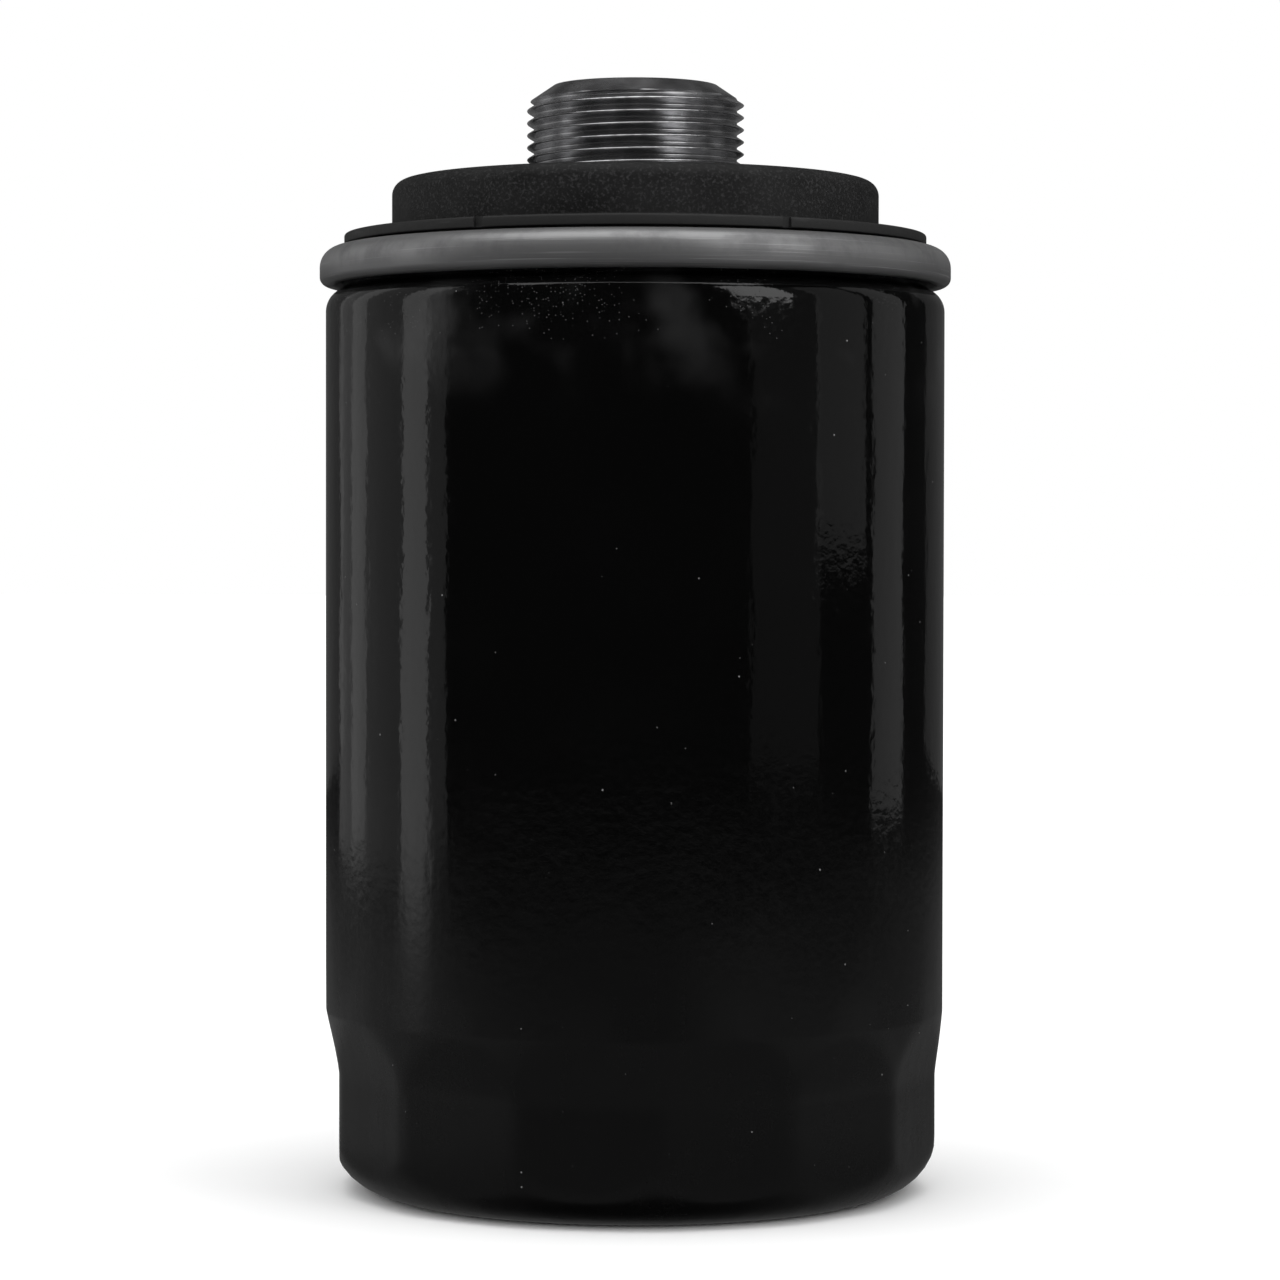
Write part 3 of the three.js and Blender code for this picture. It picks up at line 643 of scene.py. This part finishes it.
# ---- End caps --------------------------------------------------------------------------------
# Two tinplate pressings that close the element. The top one's neck goes round the seal, and the
# lower one's neck stands inside the tube.
cap_sheet = 0.6 * MM
cap_bend = 0.9 * MM
low_cap_low, low_cap_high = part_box("bottom_end_cap")
cap_radius = paper_folds + 0.6 * MM + cap_sheet + fit_gap
cap_rim = 4.4 * MM
cap_deck = top_cap_low.z + cap_rim
neck_outer = cuff_radius - fit_gap
top_cap = spun("top_cap", pressed([
    (cap_radius, top_cap_low.z, 0),
    (cap_radius, cap_deck, cap_bend),
    (neck_outer, cap_deck, cap_bend),
    (neck_outer, top_cap_high.z, 0),
], cap_sheet), 160, tin)
fitted(top_cap, "top_end_cap", "element")
lower_neck = tube_radius - 0.6 * MM - fit_gap - cap_sheet
low_cap = spun("low_cap", pressed([
    (cap_radius, low_cap_high.z, 0),
    (cap_radius, low_cap_low.z, cap_bend),
    (lower_neck, low_cap_low.z, cap_bend),
    (lower_neck, low_cap_low.z + 4 * MM, 0),
], -cap_sheet), 160, tin)
fitted(low_cap, "bottom_end_cap", "element")

# ---- Bypass valve ----------------------------------------------------------------------------
# A moulded nylon body in the lower cap. Its poppet and soft seal lift off the seat against a
# small spring when the paper is clogged, and a pierced cage holds the spring down.
body_low, body_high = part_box("bypass_valve_body")
poppet_low, poppet_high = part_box("bypass_poppet")
soft_low, soft_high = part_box("bypass_seal")
body_radius = lower_neck - fit_gap
body_bore = body_radius - 1.5 * MM
poppet_radius = poppet_high.x
orifice = poppet_radius - 2.5 * MM
seat_top = soft_low.z - fit_gap
flange_top = low_cap_low.z - fit_gap
lip_bottom = body_high.z - 0.8 * MM

black_nylon = Finish("black_nylon", IOR=1.53)
along_flow = black_nylon.vector(black_nylon.x * 140, black_nylon.y * 140, black_nylon.z * 420)
flow = black_nylon.noise(1.0, 3.0, along_flow)
nylon_share = black_nylon.band(flow, 0.4, 0.7)
pit = black_nylon.noise(1800, 2.0)
nylon_tone = black_nylon.mixed(nylon_share, (0.011, 0.011, 0.012, 1), (0.022, 0.022, 0.023, 1))
dark_nylon = black_nylon.wear(nylon_tone, 0.40 + pit * 0.18, pit, 0.25, 0.00004)
valve_body = spun("valve_body", rounded([
    (orifice, body_low.z, 0.3 * MM),
    (body_high.x, body_low.z, 0.4 * MM),
    (body_high.x, flange_top, 0.4 * MM),
    (body_radius, flange_top, 0.2 * MM),
    (body_radius, body_high.z, 0.3 * MM),
    (body_bore - 1.1 * MM, body_high.z, 0.2 * MM),
    (body_bore - 1.1 * MM, lip_bottom, 0.1 * MM),
    (body_bore, lip_bottom, 0.1 * MM),
    (body_bore, flange_top, 0.4 * MM),
    (orifice + 1.4 * MM, flange_top, 0),
    (orifice + 1.4 * MM, seat_top, 0.15 * MM),
    (orifice, seat_top, 0.15 * MM),
], 4), 96, dark_nylon)
fitted(valve_body, "bypass_valve_body", "element")

pale_nylon = Finish("natural_nylon", Subsurface_Weight=0.12, IOR=1.53)
haze = pale_nylon.noise(220, 3.0)
pale_tone = pale_nylon.mixed(pale_nylon.band(haze, 0.35, 0.7), (0.62, 0.59, 0.50, 1), (0.74, 0.71, 0.63, 1))
stem = 2 * MM
poppet = spun("poppet", rounded([
    (0.0, poppet_low.z, 0),
    (stem + 0.3 * MM, poppet_low.z, 0.2 * MM),
    (stem + 0.3 * MM, soft_high.z + fit_gap, 0),
    (poppet_radius, soft_high.z + fit_gap, 0.25 * MM),
    (poppet_radius, soft_high.z + fit_gap + 1 * MM, 0.25 * MM),
    (stem + 1 * MM, soft_high.z + fit_gap + 1 * MM, 0),
    (stem, soft_high.z + fit_gap + 2 * MM, 0.3 * MM),
    (stem, poppet_high.z, 0.4 * MM),
    (0.0, poppet_high.z, 0),
], 4), 64, pale_nylon.wear(pale_tone, 0.36 + haze * 0.2, haze, 0.2, 0.00005))
fitted(poppet, "bypass_poppet", "bypass")

soft_bore = stem + 0.3 * MM + fit_gap
soft_seal = spun("soft_seal", rounded([
    (soft_bore, soft_low.z, 0.2 * MM),
    (poppet_radius, soft_low.z, 0.3 * MM),
    (poppet_radius, soft_high.z, 0.3 * MM),
    (soft_bore, soft_high.z, 0.2 * MM),
], 3), 96, rubber)
fitted(soft_seal, "bypass_seal", "bypass")

cage_radius = body_bore - fit_gap
cage = spun("cage", rounded([
    (stem + fit_gap, cage_low.z, 0.1 * MM),
    (cage_radius, cage_low.z, 0.2 * MM),
    (cage_radius, cage_high.z, 0.2 * MM),
    (stem + fit_gap, cage_high.z, 0.1 * MM),
], 3), 96, tin)
reshaped(cage, pierced, Holes=8, Circle=cage_radius - 2.2 * MM, Height=(cage_low.z + cage_high.z) / 2,
         Thickness=cage_high.z - cage_low.z, **{"Hole Radius": 1.4 * MM})
fitted(cage, "bypass_cage", "element")

coiled, tree, given = recipe("coil_wire", "Bottom Radius", "Top Radius", "Bottom", "Top", "Turns", "Wire")
line = tree.add("GeometryNodeCurvePrimitiveLine", sockets={"End": (0, 0, 1)})
fine_line = tree.add("GeometryNodeResampleCurve", sockets={"Curve": line, "Count": given["Turns"] * 48})
way = tree.add("GeometryNodeSplineParameter") + 0
flat_end = 0.5 / given["Turns"]
climb = ((way - flat_end) / (1 - 2 * flat_end)).between(0.0, 1.0)
reach = given["Bottom Radius"] + (given["Top Radius"] - given["Bottom Radius"]) * climb
bearing = way * given["Turns"] * 2 * math.pi
level = given["Bottom"] + given["Wire"] + (given["Top"] - given["Bottom"] - 2 * given["Wire"]) * climb
spot = polar(tree, reach, bearing, level)
wound_line = tree.add("GeometryNodeSetPosition", sockets={"Geometry": fine_line, "Position": spot})
section = tree.add("GeometryNodeCurvePrimitiveCircle", sockets={"Resolution": 16, "Radius": given["Wire"]})
swept = {"Curve": wound_line, "Profile Curve": section, "Fill Caps": True}
coil = tree.add("GeometryNodeCurveToMesh", sockets=swept)

spring_wire = Finish("spring_wire", Metallic=1.0)
drawn = spring_wire.noise(1100, 3.0)
tint = spring_wire.noise(140, 3.0)
wire_tone = spring_wire.mixed(spring_wire.band(tint, 0.4, 0.65), (0.20, 0.20, 0.21, 1), (0.31, 0.30, 0.29, 1))
tree.serve(coil, spring_wire.wear(wire_tone, 0.26 + drawn * 0.2, drawn, 0.25, 0.00003))


def coil_spring(name, node, bottom_radius, top_radius, turns, wire):
    """A coil of round wire with half a turn lying flat at each end."""
    low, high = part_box(node)
    spring = bpy.data.objects.new(name, bpy.data.meshes.new(name))
    bpy.context.collection.objects.link(spring)
    sizes = {"Bottom Radius": bottom_radius, "Top Radius": top_radius}
    return reshaped(spring, coiled, Bottom=low.z, Top=high.z, Turns=turns, Wire=wire, **sizes)


bypass_coil = (poppet_radius + stem) / 2
small_spring = coil_spring("small_spring", "bypass_spring", bypass_coil, bypass_coil, 4.5, 0.5 * MM)
fitted(small_spring, "bypass_spring", "element")
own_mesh(small_spring)

# ---- Support spring and its seat -------------------------------------------------------------
# A conical coil of hard wire in the closed end. It pushes the element up against the stub
# through a small pressed seat.
seat_low, seat_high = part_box("spring_seat")
seat_sheet = 0.8 * MM
seat = spun("seat", pressed([
    (orifice + 3 * MM, seat_high.z, 0),
    (seat_high.x, seat_high.z, cap_bend),
    (seat_high.x, seat_low.z, 0),
], -seat_sheet), 96, tin)
fitted(seat, "spring_seat", "element")

support_wire = 1 * MM
support_top_radius = body_radius + 1.6 * MM
panel_share = 0.54
support_bottom_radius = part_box("can")[1].x * panel_share - 3.5 * MM
big_spring = coil_spring(
    "big_spring", "support_spring", support_bottom_radius, support_top_radius, 3.5, support_wire
)
fitted(big_spring, "support_spring", "housing")
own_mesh(big_spring)

# ---- Can -------------------------------------------------------------------------------------
# One cup drawn from thin steel and stoved in black enamel. Flats for a wrench are pressed round
# its closed end, and its mouth is necked in and hooked into the rolled seam.
sheet = 0.6 * MM
layer = sheet + fit_gap
lid_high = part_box("seaming_lid")[1]
can_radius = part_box("can")[1].x
seam_radius = lid_high.x
seam_top = lid_high.z
seam_bottom = seam_top - 4.7 * MM
neck_radius = seam_radius - 3 * layer
hook_top = seam_top - 2 * sheet - fit_gap
seam_bend = 2.5 * MM
hook_radius = neck_radius + layer + fit_gap
panel_lift = 1.6 * MM
panel_foot_share = 0.60
foot_edge = 7 * MM
flat_count = 14
flat_phase = math.radians(4.9)
flat_top = 14.5 * MM
flat_blend = 7.5 * MM
corner_radius = can_radius - 0.7 * MM
fine_rows = 0.7 * MM
wide_rows = 6 * MM
fine_below = 28 * MM


def filled_in(line, spacing):
    """Adds points to a line, so that no step on it is longer than spacing says for its height."""
    full = []
    for (r0, z0), (r1, z1) in zip(line, line[1:]):
        steps = max(1, math.ceil(math.hypot(r1 - r0, z1 - z0) / spacing((z0 + z1) / 2)))
        full += [(r0 + (r1 - r0) * step / steps, z0 + (z1 - z0) * step / steps) for step in range(steps)]
    return full + [line[-1]]


can_face = rounded([
    (0.0, panel_lift, 0),
    (can_radius * panel_share, panel_lift, 1.2 * MM),
    (can_radius * panel_foot_share, 0.0, 1.2 * MM),
    (corner_radius, 0.0, foot_edge),
    (corner_radius, flat_top, 0),
    (can_radius, flat_top + flat_blend, 6 * MM),
    (can_radius, seam_bottom - fit_gap - 1 * MM, 2.9 * MM),
    (neck_radius, seam_bottom - fit_gap, 0.5 * MM),
    (neck_radius, hook_top, 0.3 * MM),
    (hook_radius, hook_top, seam_bend - sheet - layer),
    (hook_radius, seam_bottom + layer, 0),
], 8)
can_face = filled_in(can_face, lambda z: fine_rows if z < fine_below else wide_rows)
can_back = beside(can_face, sheet)
can_back[0] = (0.0, can_back[0][1])
can_shell = spun("can_shell", can_face + can_back[::-1], flat_count * 20, phase=flat_phase)
inside = can_shell.data.attributes.new("inset", "FLOAT", "POINT")
near_face = {(round(r, 7), round(z, 7)) for r, z in can_back}
inside.data.foreach_set("value", [
    sheet if (round(math.hypot(v.co.x, v.co.y), 7), round(v.co.z, 7)) in near_face else 0.0
    for v in can_shell.data.vertices
])

fluted, tree, given = recipe(
    "press_flats", "Flats", "Phase", "Corner Radius", "Wall Radius", "Flat Top", "Run Out", "Ridge"
)
place = tree.add("GeometryNodeInputPosition")
split = tree.add("ShaderNodeSeparateXYZ", sockets={0: place})
x, y, z = (tree.other(split, axis) for axis in "XYZ")
inset = tree.add("GeometryNodeInputNamedAttribute", {"data_type": "FLOAT"}, {0: "inset"})
angle = x.maths("ARCTAN2", x, 0 - y)
step = 2 * math.pi / given["Flats"]
across = (((angle - given["Phase"]) / step).fraction() - 0.5) * step
apothem_full = given["Corner Radius"] * step.maths("COSINE", step / 2)
rise = ((z - given["Flat Top"]) / given["Run Out"]).most(0.0)
apothem = apothem_full + (given["Wall Radius"] - apothem_full) * rise ** 1.4
this_flat = apothem / across.maths("COSINE", across)
next_flat = apothem / across.maths("COSINE", step - across.size())
flats = this_flat.maths("SMOOTH_MIN", this_flat, next_flat, given["Ridge"]) - inset
away = (x * x + y * y) ** 0.5
r = away.maths("SMOOTH_MIN", away, flats, given["Ridge"] * 0.8)
share = r / away.most(1e-6)
where = tree.vector(x * share, y * share, z)
dented = tree.add("GeometryNodeSetPosition", sockets={"Geometry": given["Geometry"], "Position": where})

enamel = Finish("black_enamel", IOR=1.5)
foot_zone = enamel.band(enamel.z, 52 * MM, 22 * MM)
rim_zone = enamel.band(enamel.z, 101 * MM, 109 * MM)
peel = enamel.noise(900, 2.0)
orange_peel = enamel.band(enamel.noise(1300, 3.0), 0.42, 0.66)
draw = enamel.noise(1.0, 3.0, enamel.vector(enamel.x * 190, enamel.y * 190, enamel.z * 38))
swell = enamel.noise(95, 3.0)
haze = enamel.noise(55, 4.0)
crowd = enamel.band(haze, 0.46, 0.62)
ragged = enamel.noise(3000, 2.0)
dust = enamel.specks(640, 0.09, 0.075) * enamel.band(ragged, 0.40, 0.50)
# Painted glints: light specks crowded on the shoulder just under the seam, where the enamel catches light.
# spots joins them with the dust specks, which are real dust.
rim_glint_specks = enamel.specks(3600, 0.26, rim_zone * crowd * 0.5 + 0.001)
spots = (dust + rim_glint_specks * 0.45).least(1.0)
scratch = enamel.noise(1.0, 2.0, enamel.vector(enamel.x * 900, enamel.y * 900, enamel.z * 30))
body_tone = enamel.mixed(haze, grey(0.0007), grey(0.0012))
# Painted reflection: lighter patches on the shoulder just below the seam stand in for light mirrored in the
# wavy enamel. The same patches also make the enamel there rougher.
cloud = enamel.band(enamel.noise(70, 3.0), 0.48, 0.68) * enamel.band(enamel.z, 92 * MM, 107 * MM)
tone_with_rim_reflection = enamel.mixed(cloud, body_tone, (0.0125, 0.0125, 0.0126, 1))
tone = enamel.mixed(spots, tone_with_rim_reflection, grey(0.16))
hazed = enamel.band(haze, 0.45, 0.75)
scratched = enamel.band(scratch, 0.6, 0.8)
gloss = 0.045 + foot_zone * 0.17 + orange_peel * 0.045 + cloud * 0.10
gloss = gloss + hazed * 0.04 + scratched * 0.05 + spots * 0.4
skin = draw * 0.55 + peel * 0.12 + swell * 0.3 + spots * 0.4
tree.serve(dented, enamel.wear(tone, gloss, skin, 0.85, 0.00016))
reshaped(
    can_shell,
    fluted,
    Flats=flat_count,
    Phase=flat_phase,
    Ridge=0.45 * MM,
    **{
        "Corner Radius": corner_radius,
        "Wall Radius": can_radius,
        "Flat Top": flat_top,
        "Run Out": flat_blend,
    },
)
can_shell.data.attributes.remove(can_shell.data.attributes["inset"])
fitted(can_shell, "can", "housing")

# ---- Seam compound ---------------------------------------------------------------------------
# A thin bead of rubber lining, laid in the lid's rim before the seam is rolled. Squeezed in the
# fold, it makes the seam oil-tight.
bead_low, bead_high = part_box("seam_compound")
lining = Finish("seam_lining", Roughness=0.6)
lump = lining.noise(900, 3.0)
lining_tone = lining.mixed(lining.band(lump, 0.35, 0.7), (0.25, 0.045, 0.022, 1), (0.36, 0.080, 0.042, 1))
liner = spun("liner", rounded([
    (neck_radius + fit_gap, bead_low.z, 0.15 * MM),
    (neck_radius + layer, bead_low.z, 0.15 * MM),
    (neck_radius + layer, bead_high.z, 0.15 * MM),
    (neck_radius + fit_gap, bead_high.z, 0.15 * MM),
], 2), 120, lining.wear(lining_tone, None, lump, 0.3, 0.00005))
fitted(liner, "seam_compound", "housing")

# ---- Seaming lid -----------------------------------------------------------------------------
# A thin bare-steel disc. Its rim is rolled over the can's hook as a double seam, and its middle
# is raised as a panel that the gasket stands on.
chuck_radius = seam_radius - 4 * layer - sheet
step_radius = chuck_radius - 2.15 * MM
panel_top = seam_top - 1.0 * MM
gasket_share = 0.787
gasket_low, gasket_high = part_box("gasket")
gasket_radius = can_radius * gasket_share
gasket_bore = gasket_radius - 5.4 * MM
lid_hook_end = bead_low.z - fit_gap

lid_line = pressed([
    (neck_radius + fit_gap, lid_hook_end, 0),
    (neck_radius + fit_gap, seam_bottom, 1.0 * MM),
    (seam_radius, seam_bottom, 1.0 * MM),
    (seam_radius, seam_top, seam_bend),
    (chuck_radius, seam_top, 1.2 * MM),
    (chuck_radius, seam_bottom - 0.4 * MM, 0.8 * MM),
    (step_radius, seam_bottom - 0.4 * MM, 0.8 * MM),
    (step_radius, panel_top, 1.0 * MM),
    (gasket_bore, panel_top, 0),
], sheet, 10)

bare_steel = Finish("rolled_bare_steel", Metallic=0.84)
round_the_roll = bare_steel.vector(bare_steel.x * 45, bare_steel.y * 45, bare_steel.z * 5200)
brush = bare_steel.noise(1.0, 4.0, round_the_roll, 0.6)
blotch = bare_steel.noise(130, 5.0, roughness=0.65)
across_the_roll = bare_steel.vector(bare_steel.x * 520, bare_steel.y * 520, bare_steel.z * 60)
streak = bare_steel.noise(1.0, 2.0, across_the_roll)
stain = bare_steel.band(blotch, 0.42, 0.68)
# Painted light and shade: the rolled seam's colour is lighter near its top and darker towards its bottom, and
# darker again at its lowest edge. This stands in for light from above and shade under the roll.
seam_edge_shade = bare_steel.band(bare_steel.z, seam_bottom + 0.9 * MM, seam_bottom + 0.3 * MM)
lower_seam_shade = bare_steel.band(bare_steel.z, seam_top - 1.6 * MM, seam_bottom + 0.6 * MM)
lit_and_shaded_seam_tone = bare_steel.mixed(lower_seam_shade, (0.33, 0.33, 0.333, 1), (0.17, 0.17, 0.172, 1))
dull = bare_steel.mixed(stain * 0.7, lit_and_shaded_seam_tone, (0.20, 0.20, 0.203, 1))
scratched = bare_steel.mixed(bare_steel.band(brush, 0.56, 0.74) * 0.6, dull, (0.46, 0.46, 0.465, 1))
lid_tone = bare_steel.mixed(seam_edge_shade * 0.5, scratched, grey(0.06))
lid_gloss = 0.34 + stain * 0.12 + brush * 0.14
rolled_steel = bare_steel.wear(lid_tone, lid_gloss, brush * 0.8 + streak * 0.15 + blotch * 0.6, 0.5, 0.00005)
lid_ring = spun("lid_ring", lid_line, 360, rolled_steel)
fitted(lid_ring, "seaming_lid", "housing")

# ---- Gasket retainer -------------------------------------------------------------------------
# A black-coated disc over the gasket's foot. Its rim drops into the lid's channel, and six small
# notches are left in its edge by the tool that seats it.
disc_low, disc_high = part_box("gasket_retainer")
disc_radius = disc_high.y
disc_top = disc_high.z
disc_bottom = seam_top + fit_gap
rim_inner = step_radius + fit_gap + 0.35 * MM
rim_outer = chuck_radius - fit_gap
disc_hole = gasket_radius + 0.5 * MM + fit_gap
notch_width = 1.2 * MM
notch_depth = 0.4 * MM
notch_height = 4 * MM

notched, tree, given = recipe("notch_disc", "Notches", "Edge Radius", "Height", "Width")
spots = ring_of_points(tree, given["Notches"], given["Edge Radius"], given["Height"])
size = tree.vector(notch_depth * 2, given["Width"], notch_height)
block = tree.add("GeometryNodeMeshCube", sockets={"Size": size})
place = tree.add("GeometryNodeInputPosition")
flat_way = tree.add("ShaderNodeVectorMath", {"operation": "MULTIPLY"}, {0: place, 1: (1, 1, 0)})
outward = tree.add("FunctionNodeAlignRotationToVector", {"axis": "X"}, {"Vector": flat_way})
teeth = tree.add(
    "GeometryNodeInstanceOnPoints", sockets={"Points": spots, "Instance": block, "Rotation": outward}
)
cut = cut_out(tree, given["Geometry"], teeth)

coat = Finish("black_coating", IOR=1.5)
fleck = coat.noise(1500, 3.0)
rub = coat.noise(1.0, 3.0, coat.vector(coat.x * 110, coat.y * 110, coat.z * 900))
scuff = coat.band(rub, 0.55, 0.8)
coat_tone = coat.mixed(scuff, grey(0.012), (0.027, 0.027, 0.028, 1))
tree.serve(cut, coat.wear(coat_tone, 0.55 + fleck * 0.2, fleck, 0.35, 0.00004))

disc_line = rounded([
    (disc_hole, disc_bottom, 0.15 * MM),
    (rim_inner, disc_bottom, 0),
    (rim_inner, disc_low.z, 0.2 * MM),
    (rim_outer, disc_low.z, 0.2 * MM),
    (rim_outer, disc_bottom, 0),
    (disc_radius, disc_bottom, 0.15 * MM),
    (disc_radius, disc_top, 0.3 * MM),
    (disc_hole, disc_top, 0.3 * MM),
], 4)
disc = spun("retainer_disc", disc_line, 300)
reshaped(disc, notched, Notches=6, Height=disc_top, Width=notch_width, **{"Edge Radius": disc_radius})
fitted(disc, "gasket_retainer", "housing")

# ---- Gasket ----------------------------------------------------------------------------------
# A tall moulded nitrile ring that seals on the engine. Its foot is held under the retainer, and
# the mould leaves a fine grain on it.
gasket_top = gasket_high.z
foot_radius = step_radius - 0.7 * MM
flare = 0.5 * MM
ring_line = rounded([
    (gasket_bore, gasket_low.z, 0.2 * MM),
    (foot_radius, gasket_low.z, 0.2 * MM),
    (foot_radius, disc_bottom - fit_gap, 0.2 * MM),
    (gasket_radius + flare, disc_bottom - fit_gap, 0),
    (gasket_radius + flare, disc_top, 0),
    (gasket_radius, disc_top + flare, 0.4 * MM),
    (gasket_radius, gasket_top, 1.8 * MM),
    (gasket_bore, gasket_top, 0.8 * MM),
], 10)
rubber_ring = spun("rubber_ring", ring_line, 300, rubber)
fitted(rubber_ring, "gasket", "housing")

# ---- Studio ----------------------------------------------------------------------------------
# A plain pale floor in white surroundings, lit by upright softboxes at the sides and behind, one
# large box overhead and two low lamps lying on the floor. Polished surfaces mirror a dark room
# above and a dim table below.
room_glow = 0.015
table_glow = 0.12
floor_material = Finish("pale_floor", Roughness=0.9, Specular_IOR_Level=0.0, Emission_Strength=1.0)
floor_grain = floor_material.noise(30, 2.0)
floor_tone = floor_material.mixed(floor_grain, grey(0.93), grey(0.97))
distance = (floor_material.x * floor_material.x + floor_material.y * floor_material.y) ** 0.5
far = floor_material.band(distance, 0.15, 0.6)
glow = floor_material.mixed(far, grey(0), grey(0.3))
floor_material.feed(floor_material.shader.inputs["Emission Color"], glow)
floor = bpy.data.objects.new("floor", bpy.data.meshes.new("floor"))
floor.data.from_pydata([(-6, -6, 0), (6, -6, 0), (6, 6, 0), (-6, 6, 0)], [], [(0, 1, 2, 3)])
floor.data.materials.append(floor_material.wear(floor_tone))
bpy.context.collection.objects.link(floor)
floor.visible_glossy = False

world = bpy.data.worlds.new("studio")
world.use_nodes = True
bpy.context.scene.world = world
air = Nodes(world.node_tree)
glossy = air.other(air.add("ShaderNodeLightPath"), "Is Glossy Ray")
way = air.add("ShaderNodeSeparateXYZ", sockets={0: air.add("ShaderNodeTexCoord", out=0)})
up = air.other(way, "Z")
below = air.band(up, -0.05, -0.125)
shaded = air.band(up, -1.0, -0.65)
mirrored = air.mixed(below * shaded, grey(room_glow), grey(table_glow))
surround = air.mixed(glossy, grey(1), mirrored)
air.feed(world.node_tree.nodes["Background"].inputs["Color"], surround)


def lamp(name, place, turn, width, height, glow):
    """A flat rectangular lamp, hidden from the camera. Its face is as bright as glow says."""
    light = bpy.data.lights.new(name, "AREA")
    light.shape = "RECTANGLE"
    light.size = width
    light.size_y = height
    light.energy = glow * math.pi * width * height
    holder = bpy.data.objects.new(name, light)
    holder.location = place
    holder.rotation_euler = turn
    holder.visible_camera = False
    bpy.context.collection.objects.link(holder)


def softbox(name, azimuth, distance, width, low, high, glow):
    """A tall soft light facing the axis. Azimuth runs from the front towards +X, in degrees."""
    turn = math.radians(azimuth)
    place = Vector((distance * math.sin(turn), -distance * math.cos(turn), (low + high) / 2))
    facing = (Vector((0, 0, place.z)) - place).to_track_quat("-Z", "Y").to_euler()
    lamp(name, place, facing, width, high - low, glow)


softbox("left_wall", -104, 0.60, 0.80, -0.01, 0.60, 0.23)
softbox("left_strip", -84, 0.45, 0.10, -0.01, 0.50, 0.60)
softbox("left_back_strip", -118, 0.45, 0.09, 0.01, 0.50, 0.25)
softbox("right_fill", 56, 0.60, 0.30, 0.02, 0.60, 0.07)
softbox("right_strip", 79, 0.45, 0.18, 0.077, 0.50, 0.22)
softbox("right_back_strip", 104, 0.45, 0.15, 0.02, 0.50, 0.30)
softbox("right_key", 47, 0.60, 0.24, 0.18, 0.70, 1.8)
softbox("back_wall", 180, 0.80, 1.60, 0.00, 0.60, 0.07)
face_up = (math.pi, 0, 0)
lamp("left_card", (-0.20, -0.02, 0.001), face_up, 0.28, 0.30, 0.07)
lamp("right_card", (0.17, -0.13, 0.001), face_up, 0.20, 0.30, 0.06)
lamp("top_box", (0, -0.12, 0.75), (0, 0, 0), 0.9, 0.5, 1.5)

camera = bpy.data.objects.new("camera", bpy.data.cameras.new("camera"))
camera.data.sensor_width = 36
camera.data.lens = 116.2
camera.data.clip_start = 0.01
camera.location = (0.0057, -0.5096, 0.0790)
camera.rotation_euler = (math.radians(90 - 1.304), math.radians(-0.094), math.radians(0.570))
bpy.context.collection.objects.link(camera)
bpy.context.scene.camera = camera
bpy.context.scene.view_settings.view_transform = "Standard"
